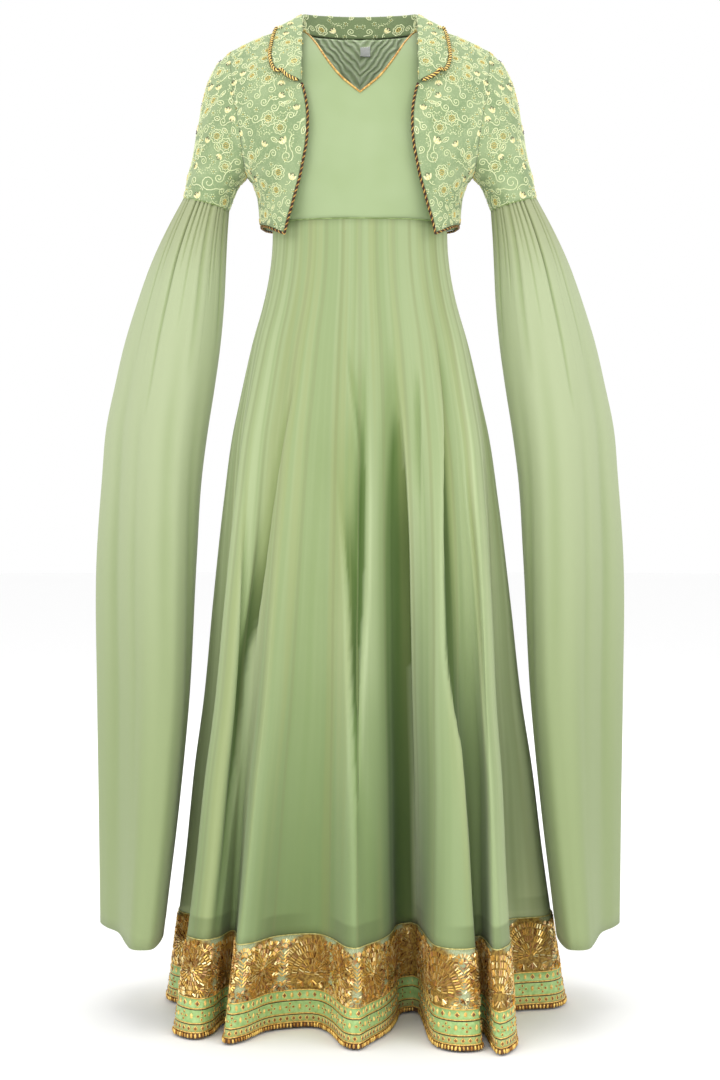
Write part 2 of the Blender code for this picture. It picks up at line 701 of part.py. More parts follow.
def build_upper_sleeves():
    """From the armhole to the elbow seam, as rings that fan out from the armhole."""
    front, back = armhole(-1), armhole(1)
    hole = np.concatenate([front, back[-2:0:-1]])
    hole[[0, ARMHOLE_SPANS], 1] = 0
    turn = np.linspace(0, 2 * math.pi, len(hole), endpoint=False)
    shares = np.linspace(0, 1, SLEEVE_RINGS + 1)
    tops = along(smooth_line(SLEEVE_TOP_LINE), shares)
    unders = along(smooth_line(SLEEVE_UNDER_LINE), shares)
    rings = []
    for share, top, under in zip(shares, tops, unders):
        centre, reach = (top + under) / 2, (top - under) / 2
        flat = centre + np.cos(turn)[:, None] * reach
        y = -smooth_table(SLEEVE_DEPTH, share)[0] * np.sin(turn)
        rings.append(np.stack([flat[:, 0], y, flat[:, 1]], axis=-1))
    rings = np.array(rings)
    rings += (hole - rings[0])[None] * ((1 - shares) ** 2)[:, None, None]
    axis = rings[1:].mean(axis=1) - rings[:-1].mean(axis=1)
    rings[0] += unit(np.array([1.0, 0.0, -0.2])) * SEAM_GAP
    rings[-1] -= unit(axis[-1]) * SEAM_GAP / 2
    tube("upper_sleeve", rings, JACKET_CLOTH, JACKET_LOOK)


def ring_normals(ring):
    """Outward unit normals of a closed ring, in its own plane."""
    around = np.roll(ring, -1, axis=0) - np.roll(ring, 1, axis=0)
    spokes = ring - ring.mean(axis=0)
    axis = unit(np.cross(spokes, np.roll(spokes, -1, axis=0)).sum(axis=0))
    return unit(np.cross(around, axis))


def tube(name, rings, thickness, look):
    inner = np.array([ring - ring_normals(ring) * thickness for ring in rings])
    for side, mirror in (("right", 1), ("left", -1)):
        flip = np.array([mirror, 1, 1])
        wall(f"{name}_{side}", rings * flip, inner * flip, look, closed=True)


def flare_ring(share, columns, gather):
    """A ring of the flared sleeve at a share of its length. Its columns rise and dip by the gather."""
    top, foot = FLARE_OUTLINE[0][0], FLARE_OUTLINE[-1][0]
    height = top + share * (foot - top)
    outer_x, inner_x, front, back = smooth_table(FLARE_OUTLINE, height)
    around = np.linspace(0, 1, columns, endpoint=False)
    turn = 2 * math.pi * around
    oval = np.stack([0.5 + 0.5 * np.cos(turn), -np.sin(turn)], axis=-1)
    folds = along(smooth_line(FLARE_FOLDS, closed=True), around)
    mix = share**0.9
    shape = oval * (1 - mix) + folds * mix
    x = inner_x + (outer_x - inner_x) * shape[:, 0]
    y = np.where(shape[:, 1] < 0, front, back) * shape[:, 1]
    tilt = FLARE_TILT * (1 - share) ** 4 * (shape[:, 0] - 0.5)
    ring = np.stack([x, y, height + tilt], axis=-1)
    rise = gather * np.where(np.arange(columns) % 2, -1, 1) * (0.75 + 0.25 * np.sin(3 * turn + 1))
    return ring + ring_normals(ring) * rise[:, None]


def build_flares():
    """The long sleeves below the elbow seam: gathered rows, then half as many columns below them."""
    rings = []
    for share in GATHERED_ROWS:
        fade = (1 - share / GATHERS_END) ** 1.5
        rings.append(flare_ring(share, 2 * GATHERS, GATHER_DEPTH * fade))
    rings[0][:, 2] -= SEAM_GAP / 2
    for share in SMOOTH_ROWS:
        rings.append(flare_ring(share, GATHERS, 0))
    inner = [ring - ring_normals(ring) * GEORGETTE for ring in rings]
    counts = [len(ring) for ring in rings]
    starts = np.concatenate([[0], np.cumsum(counts)])
    faces = []

    def strip(first, second):
        """Triangles between two rings of column numbers, the first with as many or twice as many."""
        for j in range(len(second)):
            k = (j + 1) % len(second)
            if len(first) == len(second):
                faces.append((first[j], first[k], second[k]))
                faces.append((first[j], second[k], second[j]))
            else:
                a, b, c = first[2 * j], first[2 * j + 1], first[(2 * j + 2) % len(first)]
                faces.append((a, b, second[j]))
                faces.append((b, c, second[k]))
                faces.append((b, second[k], second[j]))

    number = [np.arange(start, start + count) for start, count in zip(starts, counts)]
    far = [ring + starts[-1] for ring in number]
    for i in range(len(rings) - 1):
        strip(number[i], number[i + 1])
    outside = len(faces)
    for i in range(len(rings) - 1):
        strip(far[i], far[i + 1])
    faces[outside:] = [face[::-1] for face in faces[outside:]]
    strip(far[0], number[0])
    strip(number[-1], far[-1])
    points = np.concatenate(rings + inner)
    for side, mirror in (("right", 1), ("left", -1)):
        flip = np.array([mirror, 1, 1])
        place(f"flare_sleeve_{side}", points * flip, np.array(faces), GEORGETTE_LOOK)


def build_label():
    """A blank label inside the back of the neck, hanging against the jacket's back."""
    x = LABEL_X + np.linspace(-0.5, 0.5, 3) * LABEL_WIDTH
    z = LABEL_TOP - np.linspace(0, 1, 3) * LABEL_HEIGHT
    flat = np.stack(np.broadcast_arrays(x[None, :], z[:, None]), axis=-1)
    back = on_jacket(flat, 1)
    normals = grid_normals(back, 1)
    back -= normals * (JACKET_CLOTH + LABEL_STANDOFF)
    wall("size_label", back, back - normals * LABEL_CLOTH, LABEL_LOOK)


clear_scene()
build_skirt()
build_border()
build_yoke()
build_jacket()
build_jacket_back()
build_collar()
build_upper_sleeves()
build_flares()
build_label()
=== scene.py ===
"""The looks of an anarkali suit in its worn shape with no wearer: a floor-length georgette gown of 32 kalis
with a wide beaded and brocaded border, under a cropped embroidered jacket with long flared sleeves."""

import math

import bmesh
import bpy
import numpy as np
from mathutils import Matrix, Vector
from mathutils.bvhtree import BVHTree


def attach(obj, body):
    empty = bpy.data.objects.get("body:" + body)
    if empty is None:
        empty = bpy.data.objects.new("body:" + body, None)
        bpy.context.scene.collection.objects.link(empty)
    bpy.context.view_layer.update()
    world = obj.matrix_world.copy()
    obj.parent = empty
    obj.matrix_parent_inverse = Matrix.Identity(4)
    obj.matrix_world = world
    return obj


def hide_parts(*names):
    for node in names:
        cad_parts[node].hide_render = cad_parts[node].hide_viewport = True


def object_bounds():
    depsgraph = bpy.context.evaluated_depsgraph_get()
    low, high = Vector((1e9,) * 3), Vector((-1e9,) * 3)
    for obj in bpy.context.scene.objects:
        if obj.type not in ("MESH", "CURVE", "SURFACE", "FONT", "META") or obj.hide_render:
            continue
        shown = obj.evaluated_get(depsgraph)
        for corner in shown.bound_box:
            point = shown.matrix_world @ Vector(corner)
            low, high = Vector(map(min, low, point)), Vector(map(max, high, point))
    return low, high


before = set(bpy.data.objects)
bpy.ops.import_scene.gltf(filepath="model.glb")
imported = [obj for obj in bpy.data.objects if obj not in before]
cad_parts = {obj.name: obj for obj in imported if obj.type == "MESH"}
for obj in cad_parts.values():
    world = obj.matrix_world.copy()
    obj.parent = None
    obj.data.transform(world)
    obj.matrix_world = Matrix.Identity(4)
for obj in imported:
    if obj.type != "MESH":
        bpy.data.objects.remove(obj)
cad_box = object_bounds()
MM = 0.001

# The studio. The camera stands level with the hips, a little over three metres in front. A pale floor lies
# just under the hem. Broad soft lamps, three in front, one above and one behind, and a white room give the
# light.
lens = bpy.data.cameras.new("camera")
lens.lens = 75.74
camera = bpy.data.objects.new("camera", lens)
camera.location = (0.0, -3.294, -0.632)
camera.rotation_euler = (math.radians(90 - 1.766), 0, 0)
bpy.context.collection.objects.link(camera)
bpy.context.scene.camera = camera

LAMPS = (
    ("key", (-2.6, -3.4, 1.2), 2.6, 50),
    ("fill", (2.8, -3.0, 0.6), 2.6, 38),
    ("top", (0.0, 0.4, 2.6), 2.2, 26),
    ("behind", (0.6, 3.4, 0.8), 2.4, 30),
    ("front", (0.0, -4.4, 0.2), 2.0, 22),
)
for name, place, size, power in LAMPS:
    lamp = bpy.data.objects.new(name, bpy.data.lights.new(name, "AREA"))
    lamp.data.size = size
    lamp.data.energy = power
    lamp.location = place
    towards = np.array([0, 0, -0.6]) - np.array(place)
    flat_reach = math.hypot(towards[0], towards[1])
    tilt = math.atan2(flat_reach, -towards[2])
    lamp.rotation_euler = (tilt, 0, math.atan2(towards[1], towards[0]) - math.pi / 2)
    bpy.context.collection.objects.link(lamp)

bpy.context.scene.view_settings.view_transform = "Standard"
world = bpy.data.worlds.new("room")
world.use_nodes = True
world.node_tree.nodes["Background"].inputs["Color"].default_value = (1, 1, 1, 1)
world.node_tree.nodes["Background"].inputs["Strength"].default_value = 1.0
bpy.context.scene.world = world

ground = bmesh.new()
bmesh.ops.create_circle(ground, cap_ends=True, segments=64, radius=14)
for vert in ground.verts:
    vert.co.z = cad_box[0][2] - 3 * MM
floor_mesh = bpy.data.meshes.new("floor")
ground.to_mesh(floor_mesh)
ground.free()
floor_paint = bpy.data.materials.new("pale floor")
floor_paint.use_nodes = True
floor_paint.node_tree.nodes["Principled BSDF"].inputs["Base Color"].default_value = (0.97, 0.97, 0.97, 1)
floor_paint.node_tree.nodes["Principled BSDF"].inputs["Roughness"].default_value = 0.9
floor_mesh.materials.append(floor_paint)
floor = bpy.data.objects.new("floor", floor_mesh)
bpy.context.collection.objects.link(floor)


# The skirt: 32 tapered kalis of crepe georgette over a lining, joined by narrow seams that show as darker
# stripes. It falls smoothly over the hips and then in deep flutes, with smaller creases between them.
class Value:
    """A number or colour worked out at each point of a surface. Sums of values add their own nodes."""

    def __init__(self, finish, socket):
        self.finish = finish
        self.socket = socket

    def maths(self, operation, *values):
        return self.finish.node("ShaderNodeMath", values, operation=operation)

    def __add__(self, other):
        return self.maths("ADD", self, other)

    def __radd__(self, other):
        return self.maths("ADD", other, self)

    def __sub__(self, other):
        return self.maths("SUBTRACT", self, other)

    def __rsub__(self, other):
        return self.maths("SUBTRACT", other, self)

    def __mul__(self, other):
        return self.maths("MULTIPLY", self, other)

    def __rmul__(self, other):
        return self.maths("MULTIPLY", other, self)

    def __truediv__(self, other):
        return self.maths("DIVIDE", self, other)

    def ease(self, low, high):
        """0 where this is at low and 1 where it is at high, with a smooth step between."""
        inputs = (self, low, high, 0.0, 1.0)
        return self.finish.node("ShaderNodeMapRange", inputs, interpolation_type="SMOOTHSTEP")

    def mix(self, low, high):
        """The colour low where this is 0, and high where it is 1."""
        inputs = {0: self, 6: low, 7: high}
        return self.finish.node("ShaderNodeMix", inputs, output=2, data_type="RGBA")


class Finish:
    """A material, with one method that adds a node and gives back its output as a value."""

    def __init__(self, name, shader):
        self.material = bpy.data.materials.new(name)
        self.material.use_nodes = True
        self.tree = self.material.node_tree
        self.shader = self.tree.nodes["Principled BSDF"]
        for socket, value in shader.items():
            self.shader.inputs[socket].default_value = value

    def node(self, kind, inputs=(), output=0, **settings):
        made = self.tree.nodes.new(kind)
        for setting, value in settings.items():
            setattr(made, setting, value)
        for key, value in inputs.items() if isinstance(inputs, dict) else enumerate(inputs):
            if isinstance(value, Value):
                self.tree.links.new(value.socket, made.inputs[key])
            else:
                made.inputs[key].default_value = value
        return Value(self, made.outputs[output])

    def paint(self, socket, value):
        self.tree.links.new(value.socket, self.shader.inputs[socket])

    def here(self):
        return self.node("ShaderNodeTexCoord", output="Object")

    def noise(self, scale, detail=2.0, vector=None):
        inputs = {"Vector": vector or self.here(), "Scale": scale, "Detail": detail}
        return self.node("ShaderNodeTexNoise", inputs)

    def uv(self):
        at = self.node("ShaderNodeTexCoord", output="UV")
        return (self.node("ShaderNodeSeparateXYZ", [at], output=i) for i in (0, 1))

    def carried(self, attribute):
        return self.node("ShaderNodeAttribute", output="Fac", attribute_name=attribute)

    def bumpy(self, height, distance, strength=1.0):
        inputs = {"Strength": strength, "Distance": distance, "Height": height}
        self.paint("Normal", self.node("ShaderNodeBump", inputs))


def tone(red, green, blue):
    """A screen colour, 0 to 255, as the linear one that a shader takes."""
    share = [part / 255 for part in (red, green, blue)]
    linear = [s / 12.92 if s <= 0.04045 else ((s + 0.055) / 1.055) ** 2.4 for s in share]
    return (*linear, 1.0)


def georgette(name, light, middle, deep):
    """Sheer crepe: paler on the crests, darker in the hollows by painted shade and where its layers stack up.
    """
    finish = Finish(name, {"Roughness": 0.8, "Sheen Weight": 0.1, "Specular IOR Level": 0.2})
    hollow = finish.carried("hollow")
    cloud = finish.noise(7.0, 3.0) - 0.5
    body = (hollow * 2.0 + cloud * 0.35).ease(0.0, 1.0).mix(light, middle)
    return finish, (hollow * 2.0 - 1.0 + cloud * 0.2).ease(0.0, 1.0).mix(body, deep)


WAIST = -0.280
FOLD_TOP = -0.36
BORDER_TOP = -1.276
BROCADE_TOP = -1.354
EDGING_TOP = -1.3995
HEM = -1.4065
GEORGETTE = 1.2 * MM
BORDER_PROUD = 0.5 * MM
KALIS = 32
CENTRE_FRONT, RIGHT_SIDE, CENTRE_BACK = 8, 16, 24
# Height, half width
SKIRT_OUTLINE = (
    (-0.280, 0.1255),
    (-0.319, 0.1268),
    (-0.358, 0.1317),
    (-0.399, 0.1410),
    (-0.445, 0.1545),
    (-0.493, 0.1660),
    (-0.540, 0.1765),
    (-0.574, 0.1840),
    (-0.677, 0.1990),
    (-0.822, 0.2160),
    (-0.964, 0.2310),
    (-1.062, 0.2455),
    (-1.192, 0.2604),
    (-1.340, 0.2807),
    (-1.4065, 0.2911),
)
WAIST_HALF_WIDTH, HEM_HALF_WIDTH = SKIRT_OUTLINE[0][1], SKIRT_OUTLINE[-1][1]
WAIST_FRONT, WAIST_BACK = 0.105, 0.090
HIP_ROUNDING = 0.9
FOLD_SPREAD = 1.15
WAIST_SQUARENESS = 2.4
# The hem from above, a row for each crest and valley of its flutes: kali where one is fixed, x, y
HEM_FOLDS = (
    (0, -0.2835, 0.030),
    (None, -0.266, -0.010),
    (None, -0.190, -0.050),
    (None, -0.172, -0.076),
    (None, -0.198, -0.110),
    (None, -0.256, -0.172),
    (None, -0.236, -0.216),
    (None, -0.210, -0.210),
    (None, -0.193, -0.135),
    (None, -0.183, -0.150),
    (None, -0.184, -0.243),
    (None, -0.160, -0.232),
    (None, -0.132, -0.180),
    (None, -0.098, -0.158),
    (None, -0.062, -0.155),
    (None, -0.040, -0.192),
    (None, -0.021, -0.262),
    (CENTRE_FRONT, -0.001, -0.276),
    (None, 0.012, -0.248),
    (None, 0.033, -0.198),
    (None, 0.054, -0.120),
    (None, 0.064, -0.078),
    (None, 0.084, -0.074),
    (None, 0.090, -0.130),
    (None, 0.096, -0.230),
    (None, 0.107, -0.268),
    (None, 0.134, -0.287),
    (None, 0.164, -0.272),
    (None, 0.160, -0.200),
    (None, 0.172, -0.190),
    (None, 0.182, -0.298),
    (None, 0.200, -0.288),
    (None, 0.212, -0.235),
    (None, 0.204, -0.110),
    (None, 0.222, -0.059),
    (None, 0.280, -0.040),
    (RIGHT_SIDE, 0.299, -0.005),
    (None, 0.290, 0.048),
    (None, 0.218, 0.080),
    (None, 0.214, 0.110),
    (None, 0.264, 0.170),
    (None, 0.236, 0.208),
    (None, 0.160, 0.150),
    (None, 0.138, 0.160),
    (None, 0.150, 0.268),
    (None, 0.112, 0.282),
    (None, 0.078, 0.172),
    (None, 0.050, 0.160),
    (None, 0.034, 0.272),
    (CENTRE_BACK, -0.004, 0.288),
    (None, -0.040, 0.180),
    (None, -0.064, 0.166),
    (None, -0.088, 0.264),
    (None, -0.128, 0.274),
    (None, -0.142, 0.168),
    (None, -0.164, 0.146),
    (None, -0.210, 0.228),
    (None, -0.240, 0.192),
    (None, -0.205, 0.108),
    (None, -0.212, 0.082),
    (None, -0.272, 0.070),
)
# Edges where a flute turns under itself: the shaded side, then from the top down height, kali, reach of the
# shade in kalis, depth in mm
FOLD_EDGES = (
    (
        -1,
        (-0.50, 5.15, 0.25, 0),
        (-0.60, 4.90, 0.35, 5),
        (-0.75, 4.42, 0.40, 9),
        (-0.88, 4.08, 0.40, 11),
        (-1.05, 3.92, 0.35, 9),
        (-1.15, 3.67, 0.30, 6),
        (-1.26, 3.46, 0.25, 4),
        (-1.39, 3.42, 0.20, 2),
    ),
    (
        1,
        (-0.64, 7.12, 0.40, 0),
        (-0.71, 7.30, 0.45, 3),
        (-0.79, 7.50, 0.40, 6),
        (-0.87, 7.61, 0.30, 8),
        (-0.95, 7.71, 0.30, 8),
        (-1.08, 7.90, 0.35, 7),
        (-1.16, 7.98, 0.50, 5),
        (-1.24, 8.01, 0.60, 4),
        (-1.39, 8.05, 0.60, 1),
    ),
    (
        -1,
        (-0.45, 8.18, 0.40, 0),
        (-0.53, 8.23, 0.60, 3),
        (-0.61, 8.27, 0.80, 6),
        (-0.70, 8.29, 0.92, 8),
        (-0.80, 8.26, 0.72, 8),
        (-0.92, 8.12, 0.42, 8),
        (-1.01, 8.05, 0.15, 3),
        (-1.08, 8.05, 0.10, 0),
    ),
    (
        -1,
        (-0.44, 9.55, 0.40, 0),
        (-0.52, 9.62, 0.60, 3),
        (-0.60, 9.70, 0.80, 7),
        (-0.70, 9.76, 1.00, 10),
        (-0.85, 9.73, 1.00, 10),
        (-1.00, 9.71, 0.85, 10.5),
        (-1.20, 9.68, 0.70, 11),
        (-1.39, 9.67, 0.60, 8),
    ),
    (
        1,
        (-0.44, 12.00, 0.25, 0),
        (-0.51, 11.89, 0.35, 6),
        (-0.60, 11.64, 0.45, 9),
        (-0.70, 11.48, 0.60, 12),
        (-0.80, 11.40, 0.80, 13),
        (-0.87, 11.40, 0.90, 13),
        (-0.95, 11.56, 0.90, 13),
        (-1.01, 11.69, 0.85, 12),
        (-1.10, 11.73, 0.80, 11),
        (-1.20, 11.77, 0.65, 8),
        (-1.39, 11.79, 0.30, 3),
    ),
    (
        1,
        (-0.62, 12.60, 0.30, 0),
        (-0.70, 12.75, 0.40, 3),
        (-0.85, 12.97, 0.50, 3),
        (-1.03, 13.32, 0.60, 2),
        (-1.21, 13.45, 0.50, 1),
        (-1.39, 13.50, 0.30, 0),
    ),
    (1, (-0.64, 3.05, 0.25, 0), (-0.74, 3.30, 0.30, 5), (-0.86, 3.58, 0.30, 6), (-1.10, 3.50, 0.20, 0)),
    (1, (-0.45, 7.35, 0.20, 0), (-0.49, 7.50, 0.25, 2), (-0.54, 7.74, 0.30, 3), (-0.62, 8.06, 0.20, 0)),
    (-1, (-0.48, 10.75, 0.20, 0), (-0.53, 10.68, 0.30, 3), (-0.62, 10.46, 0.30, 3), (-0.70, 10.40, 0.25, 0)),
    (1, (-0.60, 14.30, 0.40, 0), (-0.78, 14.60, 0.50, 2), (-1.00, 14.80, 0.50, 2), (-1.25, 14.90, 0.40, 0)),
    (-1, (-0.50, 17.70, 0.30, 0), (-0.70, 17.80, 0.50, 8), (-0.95, 17.90, 0.60, 10), (-1.30, 18.00, 0.40, 0)),
    (1, (-0.45, 18.80, 0.30, 0), (-0.65, 18.95, 0.50, 8), (-0.95, 19.00, 0.60, 11), (-1.34, 19.00, 0.40, 0)),
    (-1, (-0.42, 20.50, 0.30, 0), (-0.60, 20.40, 0.60, 9), (-0.90, 20.35, 0.70, 12), (-1.33, 20.40, 0.40, 0)),
    (1, (-0.50, 21.40, 0.30, 0), (-0.70, 21.50, 0.50, 8), (-1.00, 21.55, 0.60, 10), (-1.30, 21.50, 0.40, 0)),
    (-1, (-0.44, 23.30, 0.30, 0), (-0.62, 23.20, 0.60, 9), (-0.92, 23.15, 0.70, 12), (-1.34, 23.20, 0.40, 0)),
    (1, (-0.48, 24.60, 0.30, 0), (-0.68, 24.55, 0.50, 8), (-0.95, 24.50, 0.60, 11), (-1.32, 24.50, 0.40, 0)),
    (-1, (-0.52, 26.20, 0.30, 0), (-0.72, 26.15, 0.50, 8), (-1.00, 26.10, 0.60, 10), (-1.33, 26.10, 0.40, 0)),
    (1, (-0.43, 27.30, 0.30, 0), (-0.63, 27.25, 0.50, 9), (-0.95, 27.30, 0.60, 11), (-1.30, 27.30, 0.40, 0)),
    (-1, (-0.50, 29.00, 0.30, 0), (-0.70, 29.05, 0.50, 8), (-0.98, 29.05, 0.60, 10), (-1.30, 29.00, 0.40, 0)),
    (1, (-0.55, 30.20, 0.30, 0), (-0.75, 30.25, 0.40, 7), (-1.00, 30.30, 0.50, 8), (-1.30, 30.30, 0.35, 0)),
)
EDGE_SHARPNESS = 0.05
SHADE_STEEPNESS, SHADE_ROUNDNESS = 1.5, 2.4
CREST_OFF, CREST_WIDTH = 0.10, 0.07
LIT_REACH, LIT_DEPTH = 0.9, 11 * MM
# Small creases between the flutes: kali at the top and at the foot, top, foot, half width in kalis, depth
CREASES = (
    (3.3, 3.9, -0.50, -1.25, 0.30, 3.0 * MM),
    (4.6, 4.4, -0.42, -1.10, 0.25, 2.4 * MM),
    (5.5, 5.2, -0.60, -1.35, 0.30, 3.2 * MM),
    (6.6, 6.3, -0.45, -1.20, 0.22, 2.2 * MM),
    (8.4, 8.0, -0.55, -1.40, 0.26, 2.6 * MM),
    (10.5, 10.9, -0.50, -1.00, 0.24, 2.0 * MM),
    (11.9, 12.4, -0.36, -0.80, 0.20, 2.6 * MM),
    (12.6, 12.9, -0.70, -1.40, 0.28, 3.0 * MM),
    (14.6, 14.4, -0.60, -1.30, 0.26, 2.4 * MM),
    (18.2, 18.6, -0.50, -1.20, 0.28, 2.8 * MM),
    (20.4, 20.1, -0.55, -1.35, 0.26, 2.8 * MM),
    (22.5, 22.9, -0.45, -1.10, 0.26, 2.6 * MM),
    (25.4, 25.1, -0.60, -1.35, 0.28, 3.0 * MM),
    (27.3, 27.8, -0.50, -1.15, 0.26, 2.6 * MM),
    (29.6, 29.3, -0.55, -1.30, 0.28, 2.8 * MM),
)


def smooth_table(rows, at):
    """Values of a table at keys of its first column, along a smooth curve through its rows."""
    rows = np.array(sorted(rows), float)
    keys, values = rows[:, 0], rows[:, 1:]
    slopes = np.gradient(values, keys, axis=0)
    at = np.clip(np.asarray(at, float), keys[0], keys[-1])
    i = np.clip(np.searchsorted(keys, at, side="right") - 1, 0, len(keys) - 2)
    span = (keys[i + 1] - keys[i])[..., None]
    t = ((at - keys[i]) / span[..., 0])[..., None]
    low, high = values[i], values[i + 1]
    return (
        low * (1 + 2 * t) * (1 - t) ** 2
        + high * t**2 * (3 - 2 * t)
        + span * (slopes[i] * t * (1 - t) ** 2 - slopes[i + 1] * t**2 * (1 - t))
    )


def smooth_line(points, closed=False, fine=16):
    """A smooth line through the points, with this many steps between two of them."""
    points = np.array(points, float)
    if closed:
        ring = np.concatenate([points[-1:], points, points[:2]])
    else:
        ring = np.concatenate([2 * points[:1] - points[1:2], points, 2 * points[-1:] - points[-2:-1]])
    a, b, c, d = (ring[i : len(ring) - 3 + i, None] for i in range(4))
    t = (np.arange(fine) / fine).reshape(1, fine, *[1] * (points.ndim - 1))
    line = b + 0.5 * t * (c - a + t * (2 * a - 5 * b + 4 * c - d + t * (3 * (b - c) + d - a)))
    return np.concatenate([line.reshape(-1, *points.shape[1:]), ring[-2:-1]])


def lengths(line):
    return np.concatenate([[0], np.cumsum(np.linalg.norm(np.diff(line, axis=0), axis=1))])


def along(line, shares):
    """Points of a line at these shares of its length."""
    run = lengths(line)
    return np.stack([np.interp(np.asarray(shares) * run[-1], run, axis) for axis in line.T], axis=-1)


def unit(vectors):
    return vectors / np.maximum(np.linalg.norm(vectors, axis=-1, keepdims=True), 1e-12)


def ease(value, low, high):
    share = np.clip((value - low) / (high - low), 0, 1)
    return share * share * (3 - 2 * share)


def superellipse(angle, half_width, front, back, squareness):
    """Points at angles from the centre front, growing towards +X."""
    sine, cosine = np.sin(angle), np.cos(angle)
    power = 2 / squareness
    depth = np.where(cosine >= 0, front, back)
    x = half_width * np.sign(sine) * np.abs(sine) ** power
    y = -depth * np.sign(cosine) * np.abs(cosine) ** power
    return np.stack([x, y], axis=-1)


def waist_angles():
    """Angle against kali, for kalis of one width round each quarter of the waist."""
    angles = np.linspace(-math.pi / 2, 3 * math.pi / 2, 1025)
    ring = superellipse(angles, WAIST_HALF_WIDTH, WAIST_FRONT, WAIST_BACK, WAIST_SQUARENESS)
    run = lengths(ring)
    quarters = run[:: len(angles) // 4]
    return np.interp(run, quarters, (0, CENTRE_FRONT, RIGHT_SIDE, CENTRE_BACK, KALIS)), angles


def hem_line():
    """Point of the hem against kali, for kalis of one width between the fixed ones."""
    fine = 16
    line = smooth_line([row[1:] for row in HEM_FOLDS], closed=True, fine=fine)
    fixed = [(i * fine, row[0]) for i, row in enumerate(HEM_FOLDS) if row[0] is not None]
    fixed.append((len(line) - 1, KALIS))
    run = lengths(line)
    return np.interp(run, [run[i] for i, _ in fixed], [kali for _, kali in fixed]), line


KALI_AT_ANGLE, WAIST_ANGLES = waist_angles()
KALI_AT_HEM, HEM_LINE = hem_line()


def fold_edges(kali, height):
    """How deep the cloth lies under the flutes' turned edges, which also sets painted shade, how near each
    point is to such an edge, for a painted highlight along it, and how much painted light it gets beside one.
    """
    sunk, crest, lit = np.zeros((3, *kali.shape))
    for side, *rows in FOLD_EDGES:
        middle, reach, depth = np.moveaxis(smooth_table(rows, height), -1, 0)
        depth = np.maximum(depth, 0) * MM
        off = side * ((kali - middle + KALIS / 2) % KALIS - KALIS / 2)
        shaded = np.exp(-SHADE_STEEPNESS * (np.maximum(off, 0) / reach) ** SHADE_ROUNDNESS)
        sunk += depth * np.where(off > 0, shaded, np.exp(-((off / EDGE_SHARPNESS) ** 2)))
        crest += depth * np.exp(-(((off + CREST_OFF) / CREST_WIDTH) ** 2))
        beside = np.where(off < 0, np.exp(-((off / LIT_REACH) ** 2)), 0)
        lit = np.maximum(lit, beside * np.minimum(depth / LIT_DEPTH, 1))
    return sunk, crest, lit


def skirt(kali, height):
    """Point and outward normal of the skirt's cloth, at a kali number and a height."""
    kali, height = np.broadcast_arrays(kali, height)

    def section(kali):
        turn = kali % KALIS
        half_width = smooth_table(SKIRT_OUTLINE, height)[..., 0]
        wider = HIP_ROUNDING * (half_width - WAIST_HALF_WIDTH)
        angle = np.interp(turn, KALI_AT_ANGLE, WAIST_ANGLES)
        body = superellipse(angle, half_width, WAIST_FRONT + wider, WAIST_BACK + wider, WAIST_SQUARENESS)
        folds = np.stack([np.interp(turn, KALI_AT_HEM, axis) for axis in HEM_LINE.T], axis=-1)
        share = np.clip((FOLD_TOP - height) / (FOLD_TOP - HEM), 0, 1)[..., None] ** FOLD_SPREAD
        return body * (1 - share) + folds * share * (half_width / HEM_HALF_WIDTH)[..., None]

    step = 0.02
    flat = section(kali)
    run = unit(section(kali + step) - section(kali - step))
    normal = np.stack([run[..., 1], -run[..., 0], np.zeros(kali.shape)], axis=-1)
    dip = np.zeros(kali.shape)
    for at_top, at_foot, top, foot, half_width, depth in CREASES:
        share = np.clip((height - top) / (foot - top), 0, 1)
        off = kali % KALIS - (at_top + (at_foot - at_top) * share)
        dip -= depth * np.sin(math.pi * share) * np.exp(-((off / half_width) ** 2))
    dip -= fold_edges(kali, height)[0]
    return np.concatenate([flat, height[..., None]], axis=-1) + normal * dip[..., None], normal


def cloth(name, points, finish, thickness, uv, closed=False, offset=-1.0, reverse=None, **carried):
    """A thin shell of cloth. Its outside is a grid of points, in rows from the top down."""
    rows, columns = points.shape[:2]
    sheet = bmesh.new()
    bmesh.ops.create_grid(sheet, x_segments=columns - 1, y_segments=rows - 1, size=1)
    sheet.verts.ensure_lookup_table()
    upwards = points[::-1].reshape(-1, 3)
    for vert, place in zip(sheet.verts, upwards):
        vert.co = place
    map_layer = sheet.loops.layers.uv.new("UVMap")
    flat = uv[::-1].reshape(-1, 2)
    for face in sheet.faces:
        for loop in face.loops:
            loop[map_layer].uv = flat[loop.vert.index]
    for word, values in carried.items():
        layer = sheet.verts.layers.float.new(word)
        for vert, value in zip(sheet.verts, values[::-1].ravel()):
            vert[layer] = value
    if closed:
        bmesh.ops.remove_doubles(sheet, verts=sheet.verts, dist=0.01 * MM)
    mesh = bpy.data.meshes.new(name)
    sheet.to_mesh(mesh)
    sheet.free()
    mesh.shade_smooth()
    mesh.materials.append(finish.material)
    made = bpy.data.objects.new(name, mesh)
    bpy.context.collection.objects.link(made)
    wall = made.modifiers.new("cloth", "SOLIDIFY")
    wall.thickness = thickness
    wall.offset = offset
    if reverse:
        mesh.materials.append(reverse.material)
        wall.material_offset = 1
    return made


def fit(made, slot, *nodes):
    """Sews a finished piece on its body and hides the solids it stands for. The slot is not used."""
    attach(made, "root")
    if nodes:
        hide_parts(*nodes)


DEEP_SHADE = 10 * MM
CREST_SHADE = 9 * MM
SHADOW_DEPTHS = 7 * MM, 13 * MM
SIDE_REACH = 3.0
OUTERMOST = 1.02
HOLLOW_SHADE_STRENGTH = 1.1
HOLLOW_SHADE_FALLS = 0.33, 0.60
LIT_FILL, SIDE_FILL = 0.8, 0.7


